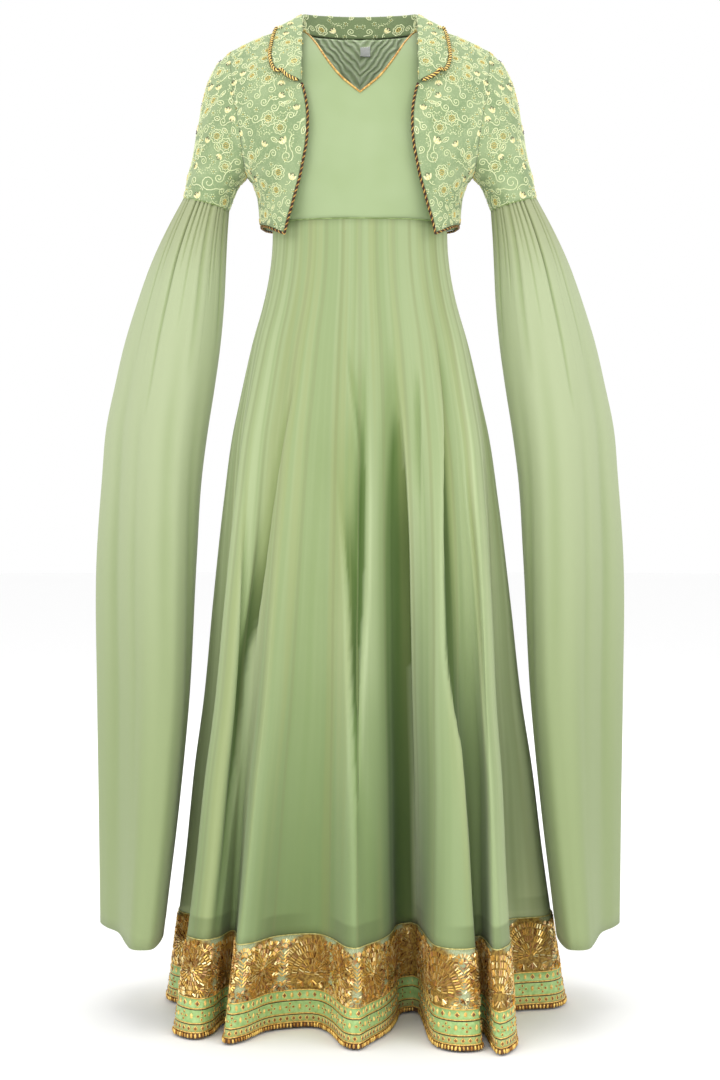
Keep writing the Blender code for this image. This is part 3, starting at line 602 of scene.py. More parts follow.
def skirt_grid(kalis, heights):
    """Points, map and carried values of a part of the skirt."""
    kali, height = np.meshgrid(kalis, heights)
    points, _ = skirt(kali, height)
    step = 0.1
    ahead, _ = skirt(kali + step, height)
    behind, _ = skirt(kali - step, height)
    width = np.linalg.norm(ahead - behind, axis=-1) / (2 * step)
    outline = smooth_table(SKIRT_OUTLINE, height)[..., 0]
    # Painted shade: darker where the cloth lies inside the outline or under a flute's turned edge.
    inside = 1 - np.linalg.norm(points[..., :2], axis=-1) / (outline * OUTERMOST)
    sunk, crest, lit = fold_edges(kali, height)
    # Less painted shade at the skirt's sides, shaded by the sleeves, and beside the turned edges.
    from_side = (kali + RIGHT_SIDE / 2) % RIGHT_SIDE - RIGHT_SIDE / 2
    side = np.exp(-((from_side / SIDE_REACH) ** 2))
    open_share = (1 - lit * LIT_FILL) * (1 - side * SIDE_FILL)
    hollow = inside * HOLLOW_SHADE_STRENGTH * ease(-height, *HOLLOW_SHADE_FALLS) * open_share + sunk / DEEP_SHADE
    carried = {
        "kali_width": width,
        "hollow": np.clip(hollow, 0, 1),
        "shadow": ease(sunk, *SHADOW_DEPTHS),
        "lit": lit**3 * np.clip(inside * 2.0, 0, 1),
        "crest": np.clip(crest / CREST_SHADE, 0, 1),
        "side": side,
    }
    return points, np.stack([kali, height], axis=-1), carried


LINING_HEM = -1.247
SKIRT_LIGHT, SKIRT_MIDDLE, SKIRT_DEEP = tone(151, 166, 122), tone(132, 150, 100), tone(72, 98, 40)
skirt_finish, skirt_colour = georgette("skirt georgette", SKIRT_LIGHT, SKIRT_MIDDLE, SKIRT_DEEP)
kali_at, height_at = skirt_finish.uv()
# Painted light: the sides, which the hanging sleeves shade, are painted paler.
skirt_colour = (skirt_finish.carried("side") * 0.85).mix(skirt_colour, tone(198, 210, 164))
# Painted highlight: a pale line along the lit side of each flute's turned edge.
skirt_colour = (skirt_finish.carried("crest") * 0.5).mix(skirt_colour, tone(180, 194, 150))
streak_at = skirt_finish.node("ShaderNodeCombineXYZ", [kali_at * 3.4, height_at * 1.1, 0.0])
streak = skirt_finish.noise(1.0, 2.0, streak_at)
skirt_colour = (streak.ease(0.38, 0.64) * 0.34).mix(skirt_colour, tone(122, 142, 88))
low_share = (1 - height_at.ease(-1.25, -0.70)) * (0.5 - skirt_finish.carried("side") * 0.44)
skirt_colour = low_share.mix(skirt_colour, tone(112, 134, 84))
olive_at = skirt_finish.node("ShaderNodeCombineXYZ", [kali_at * 1.7, height_at * 0.8, 9.0])
olive = skirt_finish.noise(1.0, 2.0, olive_at).ease(0.50, 0.66)
skirt_colour = (olive * 0.35).mix(skirt_colour, tone(146, 152, 96))
# Painted light beside each turned edge, then painted shadow deep under the edges.
skirt_colour = (skirt_finish.carried("lit") * 0.8).mix(skirt_colour, tone(214, 224, 184))
skirt_colour = (skirt_finish.carried("shadow") * 0.75).mix(skirt_colour, tone(47, 70, 25))
lining_edge = 1 - height_at.ease(LINING_HEM - 3 * MM, LINING_HEM + 3 * MM)
seen_at = skirt_finish.node("ShaderNodeCombineXYZ", [kali_at * 0.7, 0.0, 5.0])
seen = skirt_finish.noise(1.0, 0.0, seen_at)
skirt_colour = (lining_edge * seen.ease(0.42, 0.58) * 0.5).mix(skirt_colour, tone(98, 112, 70))
seam_share = (kali_at + 0.5).maths("FRACT", kali_at + 0.5) - 0.5
seam_off = seam_share.maths("ABSOLUTE", seam_share) * skirt_finish.carried("kali_width")
seam = 1 - seam_off.ease(1.0 * MM, 4.2 * MM)
skirt_finish.paint("Base Color", (seam * 0.28).mix(skirt_colour, tone(128, 132, 92)))
crepe = skirt_finish.noise(900.0, 1.0)
skirt_finish.bumpy(crepe * 0.12 - seam * 0.15, 0.6 * MM)

FRONT_COLUMNS, BACK_COLUMNS, SKIRT_ROWS = 18 * RIGHT_SIDE, 12 * RIGHT_SIDE, 76
front_kalis = np.linspace(0, RIGHT_SIDE, FRONT_COLUMNS + 1)
back_kalis = np.linspace(RIGHT_SIDE, KALIS, BACK_COLUMNS + 1)[1:]
skirt_heights = np.linspace(WAIST, BORDER_TOP, SKIRT_ROWS + 1)
skirt_points, skirt_map, skirt_carried = skirt_grid(np.concatenate([front_kalis, back_kalis]), skirt_heights)
gown_skirt = cloth("skirt", skirt_points, skirt_finish, GEORGETTE, skirt_map, closed=True, **skirt_carried)
fit(gown_skirt, "georgette", *[f"kali_{n:02d}" for n in range(1, KALIS + 1)])


# The empire seam: the skirt's and the yoke's edges are turned in and stitched together, which leaves a fine
# darker ridge under the bust.
def threads(name, lines, radius, finishes, closed=False, sides_level=0):
    """Round threads or cords along lines of points, as one piece. The finishes are taken in turn."""
    curve = bpy.data.curves.new(name, "CURVE")
    curve.dimensions = "3D"
    curve.bevel_depth = radius
    curve.bevel_resolution = sides_level
    curve.use_fill_caps = True
    for finish in finishes:
        curve.materials.append(finish.material)
    for number, line in enumerate(lines):
        spline = curve.splines.new("POLY")
        spline.points.add(len(line) - 1)
        spline.points.foreach_set("co", np.column_stack([line, np.ones(len(line))]).ravel())
        spline.use_cyclic_u = closed
        spline.material_index = number % len(finishes)
    made = bpy.data.objects.new(name, curve)
    bpy.context.collection.objects.link(made)
    return made


def plain(name, light, dark, roughness, scale, shader=()):
    """A finish whose colour drifts between two tones, with a fine grain."""
    finish = Finish(name, {"Roughness": roughness, **dict(shader)})
    finish.paint("Base Color", finish.noise(scale, 3.0).ease(0.35, 0.65).mix(dark, light))
    finish.bumpy(finish.noise(1100.0, 1.0), 0.3 * MM, 0.4)
    return finish


seam_finish = plain("seam thread", tone(150, 170, 112), tone(118, 138, 80), 0.8, 90.0)
waist_points, waist_normals = skirt(np.linspace(0, KALIS, 161)[:-1], WAIST)
waist_ridge = waist_points + waist_normals * 0.3 * MM
empire_seam = threads("empire_seam", [waist_ridge], 0.9 * MM, [seam_finish], closed=True, sides_level=1)
fit(empire_seam, "georgette")


# The yoke: a plain crepe bodice with no sleeves, cut in a front with a V neck and a back with a scooped one.
# The front has faint soft drags from the bust.
YOKE_CLOTH = 1.4 * MM
JACKET_CLOTH = 2.0 * MM
SEAM_GAP = 0.3 * MM
YOKE_DROP = JACKET_CLOTH + 1.5 * MM
SHOULDER_ARCH = 0.15
ARCH_POWER = 0.75
YOKE_SQUARENESS = 2.4
# Distance from the centre, height
SHOULDER_LINE = (
    (0.000, 0.030),
    (0.045, 0.022),
    (0.083, 0.002),
    (0.1276, -0.004),
    (0.157, -0.0154),
    (0.186, -0.030),
)
# Edges from the centre outwards, or from the shoulder down: x, height (None on the shoulder)
V_NECK = ((0.0, -0.1065), (0.0275, -0.083), (0.0485, -0.054), (0.0665, -0.022), (0.083, None))
BACK_SCOOP = ((0.0, -0.150), (0.034, -0.138), (0.060, -0.096), (0.075, -0.044), (0.083, None))
STRAP = ((0.104, None), (0.124, None))
YOKE_SIDE = (
    (0.124, None),
    (0.1225, -0.014),
    (0.1200, -0.030),
    (0.1185, -0.060),
    (0.122, -0.110),
    (0.136, -0.165),
    (0.156, -0.209),
    (0.140, -0.245),
    (0.1255, WAIST),
)
# Height, half width, front depth, back depth
YOKE_BODY = (
    (-0.300, 0.1255, 0.105, 0.090),
    (-0.280, 0.1255, 0.105, 0.090),
    (-0.245, 0.1400, 0.110, 0.091),
    (-0.209, 0.1560, 0.114, 0.093),
    (-0.165, 0.1750, 0.116, 0.095),
    (-0.120, 0.1900, 0.113, 0.095),
    (-0.030, 0.2000, 0.108, 0.092),
    (0.040, 0.2000, 0.108, 0.092),
)


def shoulder_height(x):
    return smooth_table(SHOULDER_LINE, np.abs(x))[..., 0]


def torso(flat, side, body, squareness, drop=0.0):
    """Points of a torso layer above (x, z), on its front (side -1) or its back (side 1)."""
    x, z = flat[..., 0], flat[..., 1]
    half_width, front, back = np.moveaxis(smooth_table(body, z), -1, 0)
    below = np.clip((shoulder_height(x) - drop - z) / SHOULDER_ARCH, 0, 1)
    arch = np.sin(math.pi / 2 * below**ARCH_POWER)
    across = (1 - np.clip(np.abs(x) / half_width, 0, 1) ** squareness) ** (1 / squareness)
    depth = (front if side < 0 else back) * arch * across
    return np.stack([x, side * (depth + SEAM_GAP / 2), z], axis=-1)


def edge(rows, fine, drop=0.0):
    """A smooth edge through (x, z) points. A stretch with no height at either end follows the shoulder, and
    one with no height at one end stays below it.
    """
    fixed = [(x, shoulder_height(x) - drop if z is None else z) for x, z in rows]
    line = smooth_line(fixed, fine=fine)
    for i, ((_, height), (_, next_height)) in enumerate(zip(rows, rows[1:])):
        if height is None or next_height is None:
            stretch = slice(i * fine, (i + 1) * fine + 1)
            shoulder = shoulder_height(line[stretch, 0]) - drop
            follows = height is None and next_height is None
            line[stretch, 1] = shoulder if follows else np.minimum(line[stretch, 1], shoulder)
    return line


def straight(first, last, steps):
    share = np.linspace(0, 1, steps + 1)[:, None]
    return np.array(first) * (1 - share) + np.array(last) * share


def patch(top, foot, inner, outer):
    """A grid of (x, z) points filled in between four edges that share their corners."""
    u = np.linspace(0, 1, len(top))[None, :, None]
    v = np.linspace(0, 1, len(inner))[:, None, None]
    across = (1 - u) * inner[:, None] + u * outer[:, None]
    down = (1 - v) * top[None] + v * foot[None]
    corners = (1 - v) * ((1 - u) * top[0] + u * top[-1]) + v * ((1 - u) * foot[0] + u * foot[-1])
    return across + down - corners


def both_halves(half):
    """A right half whose first column is the centre line, with its mirror image on the left."""
    left = half[:, :0:-1].copy()
    left[..., 0] *= -1
    return np.concatenate([left, half], axis=1)


def facing(points, side):
    """The grid with its columns in the order that turns its faces outwards on this side."""
    return points if side < 0 else points[:, ::-1]


yoke_finish = Finish("yoke crepe", {"Roughness": 0.75, "Sheen Weight": 0.2, "Specular IOR Level": 0.25})
drift = yoke_finish.noise(9.0, 2.0)
yoke_finish.paint("Base Color", drift.ease(0.3, 0.7).mix(tone(148, 166, 120), tone(157, 174, 131)))
yoke_finish.bumpy(yoke_finish.noise(1000.0, 1.0), 0.4 * MM, 0.35)

YOKE_FINE = 4
neck_rims = {}
yoke_side = edge(YOKE_SIDE, YOKE_FINE, YOKE_DROP)
for name, side, neckline, area in (("yoke_front", -1, V_NECK, 0.08), ("yoke_back", 1, BACK_SCOOP, 0.068)):
    top = edge(neckline + STRAP, YOKE_FINE, YOKE_DROP)
    foot = straight((0, WAIST), yoke_side[-1], len(top) - 1)
    centre = straight(top[0], (0, WAIST), len(yoke_side) - 1)
    flat = both_halves(patch(top, foot, centre, yoke_side))
    points = torso(flat, side, YOKE_BODY, YOKE_SQUARENESS, YOKE_DROP)
    drag = np.sin(flat[..., 0] * 70 + flat[..., 1] * 22) * np.sin(flat[..., 1] * 19 + 1.2)
    points[..., 1] += side * 0.6 * MM * drag * ease(-flat[..., 1], 0.05, 0.14)
    grid, flat_map = facing(points, side), facing(flat, side)
    yoke = cloth(f"{name}_cloth", grid, yoke_finish, YOKE_CLOTH, flat_map)
    fit(yoke, "yoke_crepe", name)
    middle = len(top) - 1
    rim = (len(neckline) - 1) * YOKE_FINE
    neck_rims[side] = points[0, middle - rim : middle + rim + 1]


# The neck piping: a bias strip of gold tissue rolled round a fine cord. It is stitched along the V neck, over
# the shoulders and along the scooped back neck, in one closed line.
PIPING_RADIUS, PIPING_INSET = 1.5 * MM, 1.1 * MM
NECK_MIDDLE = np.array([0.0, 0.0, -0.05])
neck_line = np.concatenate([neck_rims[-1][:-1], neck_rims[1][:0:-1]])
outwards = unit((neck_line - NECK_MIDDLE) * np.array([1.0, 0.0, 1.0]))
neck_line = neck_line - PIPING_INSET * outwards
gold_tissue = plain("gold tissue", tone(226, 188, 110), tone(176, 128, 62), 0.38, 260.0, {"Metallic": 0.55})
neck_piping = threads(
    "gold_neck_piping", [neck_line], PIPING_RADIUS, [gold_tissue], closed=True, sides_level=2
)
fit(neck_piping, "rope_trim", "neck_piping")


# The jacket: two fronts and a back of cloth covered all over with thread embroidery, which draws the ground
# into small soft puckers that run slantwise.
SIDES = (("right", 1), ("left", -1))
JACKET_SQUARENESS = 2.7
UNDERARM = -0.209
ARMHOLE_SPANS = 9
# Height, half width, front depth, back depth
JACKET_BODY = (
    (-0.300, 0.1437, 0.124, 0.100),
    (-0.281, 0.1437, 0.124, 0.100),
    (-0.258, 0.1437, 0.124, 0.101),
    (-0.232, 0.1500, 0.124, 0.102),
    (-0.209, 0.1630, 0.125, 0.103),
    (-0.190, 0.1780, 0.125, 0.104),
    (-0.160, 0.1950, 0.125, 0.104),
    (-0.120, 0.2050, 0.122, 0.104),
    (-0.030, 0.2150, 0.116, 0.101),
    (0.040, 0.2150, 0.116, 0.101),
)
# Edges from the shoulder down: x, height (None on the shoulder), but height, x for the armhole
FRONT_EDGE = (
    (0.0920, None),
    (0.0923, -0.009),
    (0.0925, -0.030),
    (0.0922, -0.060),
    (0.0918, -0.0875),
    (0.0834, -0.0925),
    (0.0762, -0.126),
    (0.0752, -0.155),
    (0.0792, -0.190),
    (0.0887, -0.231),
    (0.0980, -0.264),
    (0.1073, -0.298),
)
NECKLINE_ROWS = 5
BACK_NECK = ((0.0, -0.0035), (0.032, -0.0035), (0.056, -0.0035), (0.076, -0.0035), (0.092, None))
ARMHOLE = ((-0.030, 0.1860), (-0.094, 0.1800), (-0.141, 0.1720), (UNDERARM, 0.1630))
JACKET_SIDE = ((0.150, -0.232), (0.1437, -0.281))
BACK_ROW_SPREAD = 1.35


def pucker(x, z):
    """How far the embroidered ground stands out or in at (x, z)."""
    slant = np.sin(150 * x + 118 * z + 1.6 * np.sin(46 * z + 31 * x))
    counter = np.sin(122 * z - 128 * x + 1.3 * np.sin(52 * x))
    return 0.75 * MM * (slant + 0.6 * counter)


def smooth_jacket(flat, side):
    """Points above (x, z) on the jacket's form, before its puckers."""
    return torso(flat, side, JACKET_BODY, JACKET_SQUARENESS)


def on_jacket(flat, side, lift=0.0):
    """Points on the jacket's cloth above (x, z), this far out from it, and their outward normals."""
    right, up = np.array([[1 * MM, 0], [0, 1 * MM]])
    run = smooth_jacket(flat + right, side) - smooth_jacket(flat - right, side)
    down = smooth_jacket(flat - up, side) - smooth_jacket(flat + up, side)
    normal = side * unit(np.cross(run, down))
    below = shoulder_height(flat[..., 0]) - flat[..., 1]
    rise = lift + pucker(np.abs(flat[..., 0]), flat[..., 1]) * ease(below, 0.0, 0.03)
    return smooth_jacket(flat, side) + normal * rise[..., None], normal


def to_side(grid, mirror):
    """The right side's grid of points as it is on this side, with its faces still outwards."""
    return (grid if mirror > 0 else grid[:, ::-1]) * np.array([mirror, 1, 1])


def armhole(fine):
    """The right armhole seam as (x, z) points, from the tip of the shoulder to the underarm."""
    turn = np.linspace(0, math.pi, ARMHOLE_SPANS * fine + 1)
    z = ARMHOLE[0][0] + (UNDERARM - ARMHOLE[0][0]) * (1 - np.cos(turn)) / 2
    return np.stack([smooth_table(ARMHOLE, z)[:, 0], z], axis=-1)


embroidered = Finish(
    "embroidered cloth", {"Roughness": 0.85, "Sheen Weight": 0.15, "Specular IOR Level": 0.2}
)
ground_drift = embroidered.noise(26.0, 3.0)
ground_tone = ground_drift.ease(0.35, 0.65).mix(tone(132, 152, 110), tone(148, 166, 124))
filling = embroidered.noise(420.0, 2.0).ease(0.52, 0.66)
stitched_tone = (filling * 0.4).mix(ground_tone, tone(182, 196, 148))
# Painted shade: the collar's stand, which lies in shade inside the neck, is painted darker.
embroidered.paint("Base Color", (embroidered.carried("stand") * 0.75).mix(stitched_tone, tone(92, 108, 68)))
embroidered.bumpy(filling * 0.6 + embroidered.noise(900.0, 1.0) * 0.3, 0.5 * MM, 0.7)

# Painted light: the inside is painted paler against its shade, its wrinkles as lighter and darker bands.
reverse = Finish("jacket reverse", {"Roughness": 0.85, "Specular IOR Level": 0.2})
across = reverse.node("ShaderNodeSeparateXYZ", [reverse.here()], output="X")
upright = reverse.node("ShaderNodeSeparateXYZ", [reverse.here()], output="Z")
slant = across.maths("ABSOLUTE", across) * 620.0 - upright * 560.0 + reverse.noise(34.0, 2.0) * 12.0
wrinkle = slant.maths("SINE", slant)
reverse.paint("Base Color", (wrinkle * 0.35 + 0.6).mix(tone(160, 184, 130), tone(236, 250, 214)))
reverse.bumpy(wrinkle + reverse.noise(300.0) * 0.6, 0.8 * MM, 0.8)

JACKET_FINE = 4
SHOULDER_STEPS = 44
front_grids = {}
for side_name, mirror in SIDES:
    inner = edge(FRONT_EDGE, JACKET_FINE)
    hole = armhole(JACKET_FINE)
    side_seam = smooth_line([hole[-2], hole[-1], *JACKET_SIDE], fine=JACKET_FINE)[JACKET_FINE + 1 :]
    outer = np.concatenate([hole, side_seam])
    shoulder_x = np.linspace(inner[0, 0], outer[0, 0], SHOULDER_STEPS + 1)
    shoulder = np.stack([shoulder_x, shoulder_height(shoulder_x)], axis=-1)
    shoulder[-1] = outer[0]
    flat = patch(shoulder, straight(inner[-1], outer[-1], SHOULDER_STEPS), inner, outer)
    points, normals = on_jacket(flat, -1)
    name, grid = f"jacket_front_{side_name}", to_side(points, mirror)
    front = cloth(f"{name}_cloth", grid, embroidered, JACKET_CLOTH, flat, reverse=reverse)
    fit(front, "embroidered_cloth", name)
    front_grids[side_name] = points, normals

neck = edge(BACK_NECK, JACKET_FINE)
back_x = np.linspace(neck[-1, 0], outer[0, 0], 4 * JACKET_FINE + 1)[1:]
back_shoulder = np.stack([back_x, shoulder_height(back_x)], axis=-1)
top = np.concatenate([neck, back_shoulder])
foot = straight((0, outer[-1, 1]), outer[-1], len(top) - 1)
rows = np.linspace(0, 1, len(outer))[:, None] ** BACK_ROW_SPREAD
back_flat = both_halves(patch(top, foot, top[0] * (1 - rows) + foot[0] * rows, outer))
back_points, back_normals = on_jacket(back_flat, 1)
back_grid, back_map = facing(back_points, 1), facing(back_flat, 1)
jacket_back = cloth("jacket_back_cloth", back_grid, embroidered, JACKET_CLOTH, back_map, reverse=reverse)
fit(jacket_back, "embroidered_cloth", "jacket_back")


# The collar: a stand and a fall cut as one strip of the same cloth, turned over a soft roll. Its front ends
# are rounded and leave a notch above the jacket's edge.
COLLAR_CLOTH = 1.8 * MM
COLLAR_ROLL = 2.4 * MM
COLLAR_ROLL_COLUMN = 4
FRONT_ROLL_LIFT = 5.0 * MM
# From the front end to the centre back: side, seam x, z, roll x, y, z, edge x, z, lift of the edge
COLLAR_SECTIONS = (
    (-1, 0.0905, -0.0865, 0.0836, None, -0.0885, 0.1085, -0.0765, 0.0048),
    (-1, 0.0906, -0.0800, 0.0832, None, -0.0825, 0.1165, -0.0715, 0.0048),
    (-1, 0.0907, -0.0720, 0.0830, None, -0.0735, 0.1210, -0.0620, 0.0048),
    (-1, 0.0910, -0.0550, 0.0830, None, -0.0550, 0.1232, -0.0470, 0.0048),
    (-1, 0.0912, -0.0300, 0.0830, None, -0.0300, 0.1215, -0.0240, 0.0050),
    (-1, 0.0912, -0.0120, 0.0830, -0.0290, -0.0030, 0.1190, -0.0110, 0.0054),
    (-1, 0.0908, 0.0015, 0.0832, -0.0030, 0.0190, 0.1155, -0.0045, 0.0086),
    (1, 0.0885, 0.0005, 0.0820, 0.0120, 0.0240, 0.1135, -0.0060, 0.0086),
    (1, 0.0850, -0.0010, 0.0800, 0.0260, 0.0280, 0.1060, -0.0100, 0.0080),
    (1, 0.0700, -0.0025, 0.0640, 0.0470, 0.0300, 0.0840, -0.0140, 0.0080),
    (1, 0.0360, -0.0025, 0.0330, 0.0600, 0.0310, 0.0420, -0.0150, 0.0080),
    (1, 0.0000, -0.0025, 0.0000, 0.0635, 0.0310, 0.0000, -0.0150, 0.0080),
)


def collar_grid(fine):
    """The middle of the collar's cloth: sections round the neck, each from the seam to the outer edge."""
    half = []
    for side, seam_x, seam_z, roll_x, roll_y, roll_z, edge_x, edge_z, lift in COLLAR_SECTIONS:
        seam = smooth_jacket(np.array([seam_x, seam_z]), side)
        seam = seam - np.array([0, side * JACKET_CLOTH / 2, 0])
        if roll_y is None:
            roll_y = smooth_jacket(np.array([roll_x, roll_z]), side)[1] - FRONT_ROLL_LIFT
        roll = np.array([roll_x, roll_y, roll_z])
        fall = on_jacket(np.array([edge_x, edge_z]), side, lift)[0]
        into = unit(unit(seam - roll) + unit(fall - roll))
        apart = fall - seam
        apart = unit(apart - into * (apart @ into))
        turn = roll + into * COLLAR_ROLL
        low, high = turn - apart * COLLAR_ROLL, turn + apart * COLLAR_ROLL
        half.append([seam, (seam + low) / 2, low, roll, high, (high + fall) / 2, fall])
    half = np.array(half)
    whole = np.concatenate([half, half[-2::-1] * np.array([-1, 1, 1])])
    whole = smooth_line(whole, fine=fine)
    return np.moveaxis(smooth_line(np.moveaxis(whole, 1, 0), fine=fine), 0, 1)


def grid_normals(points):
    """Unit normals of a grid whose rows run down and whose columns run to the right, seen from outside."""
    return unit(np.cross(np.gradient(points, axis=1), -np.gradient(points, axis=0)))


COLLAR_FINE = 4
collar_points = collar_grid(COLLAR_FINE)
collar_out = -grid_normals(collar_points)
collar_across, collar_round = (np.linspace(0, 0.5, count) for count in collar_points.shape[1::-1])
collar_run = np.stack(np.meshgrid(collar_across, collar_round), axis=-1)
# The stand's columns, which the embroidered finish paints darker as shade.
stand = 1 - ease(np.arange(len(collar_points[0])), 2.0 * COLLAR_FINE, COLLAR_ROLL_COLUMN * COLLAR_FINE)
stand = np.broadcast_to(stand, collar_points.shape[:2])
collar = cloth("collar_cloth", collar_points, embroidered, COLLAR_CLOTH, collar_run, offset=0.0, stand=stand)
fit(collar, "embroidered_cloth", "collar")


# The upper sleeves: cut from the same embroidered cloth, set into the jacket's armholes and sewn up into
# tubes that end at the elbow.
SLEEVE_RINGS = 40
SLEEVE_FINE = 4
# Lines from the armhole to the elbow: x, height. Then share of the length, half depth
SLEEVE_TOP_LINE = (
    (0.1860, -0.0300),
    (0.2023, -0.0460),
    (0.2153, -0.0670),
    (0.2246, -0.0960),
    (0.2327, -0.1350),
    (0.2429, -0.1930),
    (0.2545, -0.2430),
)
SLEEVE_UNDER_LINE = ((0.1630, UNDERARM), (0.1790, -0.2320), (0.1900, -0.2590))
SLEEVE_DEPTH = ((0, 0.074), (0.4, 0.064), (1, 0.052))


def ring_normals(ring):
    """Outward unit normals of a closed ring, in its own plane."""
    around = np.roll(ring, -1, axis=0) - np.roll(ring, 1, axis=0)
    spokes = ring - ring.mean(axis=0)
    axis = unit(np.cross(spokes, np.roll(spokes, -1, axis=0)).sum(axis=0))
    return unit(np.cross(around, axis))


def sleeve_rings():
    """Rings of the right upper sleeve. Each starts at the top and goes round by the front."""
    seam = armhole(SLEEVE_FINE)
    front, back = smooth_jacket(seam, -1), smooth_jacket(seam, 1)
    hole = np.concatenate([front, back[-2:0:-1]])
    hole[[0, len(front) - 1], 1] = 0
    turn = np.linspace(0, 2 * math.pi, len(hole), endpoint=False)
    shares = np.linspace(0, 1, SLEEVE_RINGS + 1)
    rings = []
    tops, unders = (along(smooth_line(line), shares) for line in (SLEEVE_TOP_LINE, SLEEVE_UNDER_LINE))
    for share, top, under in zip(shares, tops, unders):
        centre, reach = (top + under) / 2, (top - under) / 2
        flat = centre + np.cos(turn)[:, None] * reach
        y = -smooth_table(SLEEVE_DEPTH, share)[0] * np.sin(turn)
        rings.append(np.stack([flat[:, 0], y, flat[:, 1]], axis=-1))
    rings = np.array(rings)
    rings += (hole - rings[0])[None] * ((1 - shares) ** 2)[:, None, None]
    normals = np.array([ring_normals(ring) for ring in rings])
    bend = ease(shares, 0.0, 0.12) * ease(1 - shares, 0.0, 0.10)
    return rings + normals * (pucker(rings[..., 0] * 0.9, rings[..., 2]) * 1.5 * bend[:, None])[..., None]


def closed_ring(values):
    """A grid with its first column repeated as its last."""
    return np.concatenate([values, values[:, :1]], axis=1)


upper_rings = sleeve_rings()
upper_grid = closed_ring(upper_rings)
upper_round, upper_down = np.linspace(0, 0.34, upper_grid.shape[1]), np.linspace(0, 0.2, len(upper_grid))
upper_run = np.stack(np.meshgrid(upper_round, upper_down), axis=-1)
for side_name, mirror in SIDES:
    name, grid = f"upper_sleeve_{side_name}", to_side(upper_grid, mirror)[:, ::-1]
    made = cloth(f"{name}_cloth", grid, embroidered, JACKET_CLOTH, upper_run, closed=True)
    fit(made, "embroidered_cloth", name)


# The flared sleeves: plain georgette gathered into the elbow seam. The gathers run down unevenly and open
# into long soft folds that hang free below the elbow.
FLARE_TILT = 0.016
# Height, outer x, inner x, front depth, back depth
FLARE_OUTLINE = (
    (-0.2510, 0.2545, 0.1900, 0.052, 0.052),
    (-0.2900, 0.2770, 0.1925, 0.058, 0.056),
    (-0.3307, 0.2972, 0.1943, 0.064, 0.060),
    (-0.3916, 0.3207, 0.1972, 0.072, 0.066),
    (-0.4511, 0.3400, 0.2030, 0.080, 0.071),
    (-0.5120, 0.3545, 0.2117, 0.087, 0.075),
    (-0.5743, 0.3677, 0.2218, 0.094, 0.079),
    (-0.6395, 0.3735, 0.2305, 0.101, 0.083),
    (-0.7555, 0.3820, 0.2385, 0.115, 0.090),
    (-0.9672, 0.3821, 0.2508, 0.146, 0.106),
    (-1.1064, 0.3805, 0.2645, 0.172, 0.118),
    (-1.2900, 0.3787, 0.2870, 0.200, 0.132),
)
# The hem from above, as shares of its width from the inner side and of its depth
FLARE_FOLDS = (
    (1.00, 0.00),
    (0.86, -0.20),
    (0.62, -0.40),
    (0.42, -0.78),
    (0.30, -0.96),
    (0.12, -1.00),
    (-0.04, -0.93),
    (-0.10, -0.55),
    (-0.03, -0.05),
    (0.02, 0.45),
    (0.28, 0.92),
    (0.52, 1.00),
    (0.70, 0.82),
    (0.76, 0.42),
    (0.93, 0.18),
)
GATHERS = 28
GATHER_DEPTH = 3.0 * MM
GATHER_ENDS = (0.06, 0.11, 0.05, 0.15, 0.08, 0.20, 0.07, 0.12, 0.06, 0.17, 0.09, 0.07, 0.14, 0.10)
# Long creases: place round the sleeve at the top and the foot, top and foot, half width, depth
FLARE_CREASES = (
    (0.10, 0.09, 0.12, 0.95, 0.022, 3.2 * MM),
    (0.17, 0.20, 0.20, 0.85, 0.018, 2.2 * MM),
    (0.27, 0.30, 0.10, 0.80, 0.020, 2.6 * MM),
    (0.36, 0.41, 0.16, 0.98, 0.022, 3.0 * MM),
    (0.55, 0.58, 0.12, 0.90, 0.022, 2.6 * MM),
    (0.66, 0.70, 0.20, 0.95, 0.024, 3.0 * MM),
    (0.78, 0.80, 0.10, 0.85, 0.020, 2.4 * MM),
    (0.90, 0.93, 0.16, 0.90, 0.022, 2.6 * MM),
)
CREASE_SHADE = 9 * MM


def flare_ring(share, columns):
    """A ring of the right flared sleeve at a share of its length, and how deep each point lies in a fold."""
    height = FLARE_OUTLINE[0][0] + share * (FLARE_OUTLINE[-1][0] - FLARE_OUTLINE[0][0])
    outer_x, inner_x, front, back = smooth_table(FLARE_OUTLINE, height)
    around = np.linspace(0, 1, columns, endpoint=False)
    turn = 2 * math.pi * around
    oval = np.stack([0.5 + 0.5 * np.cos(turn), -np.sin(turn)], axis=-1)
    folds = along(smooth_line(FLARE_FOLDS, closed=True), around)
    mix = share**0.9
    shape = oval * (1 - mix) + folds * mix
    x = inner_x + (outer_x - inner_x) * shape[:, 0]
    y = np.where(shape[:, 1] < 0, front, back) * shape[:, 1]
    tilt = FLARE_TILT * (1 - share) ** 4 * (shape[:, 0] - 0.5)
    ring = np.stack([x, y, height + tilt], axis=-1)
    uneven = 0.35 * np.sin(3 * turn + 1) + 0.22 * np.sin(8 * turn) + 0.15 * np.sin(13 * turn + 2)
    number = around * GATHERS + uneven
    ends = np.array(GATHER_ENDS)[np.floor(number + 0.5).astype(int) % len(GATHER_ENDS)]
    fade = np.clip(1 - share / (ends * 1.5), 0, 1)
    dip = (0.5 + 0.5 * np.cos(2 * math.pi * number)) ** 4 * (0.8 + 0.2 * np.sin(5 * turn + 2))
    rise = GATHER_DEPTH * fade * (0.35 - 1.5 * dip)
    crease = np.zeros(columns)
    for at_top, at_foot, first, last, half_width, depth in FLARE_CREASES:
        down = np.clip((share - first) / (last - first), 0, 1)
        off = (around - at_top - (at_foot - at_top) * down + 0.5) % 1 - 0.5
        crease += depth * math.sin(math.pi * down) * np.exp(-((off / half_width) ** 2))
    # Painted shade in the gathers and the long creases.
    hollow = np.clip(dip * fade**0.7 + crease / CREASE_SHADE, 0, 1)
    return ring + ring_normals(ring) * (rise - crease)[:, None], hollow


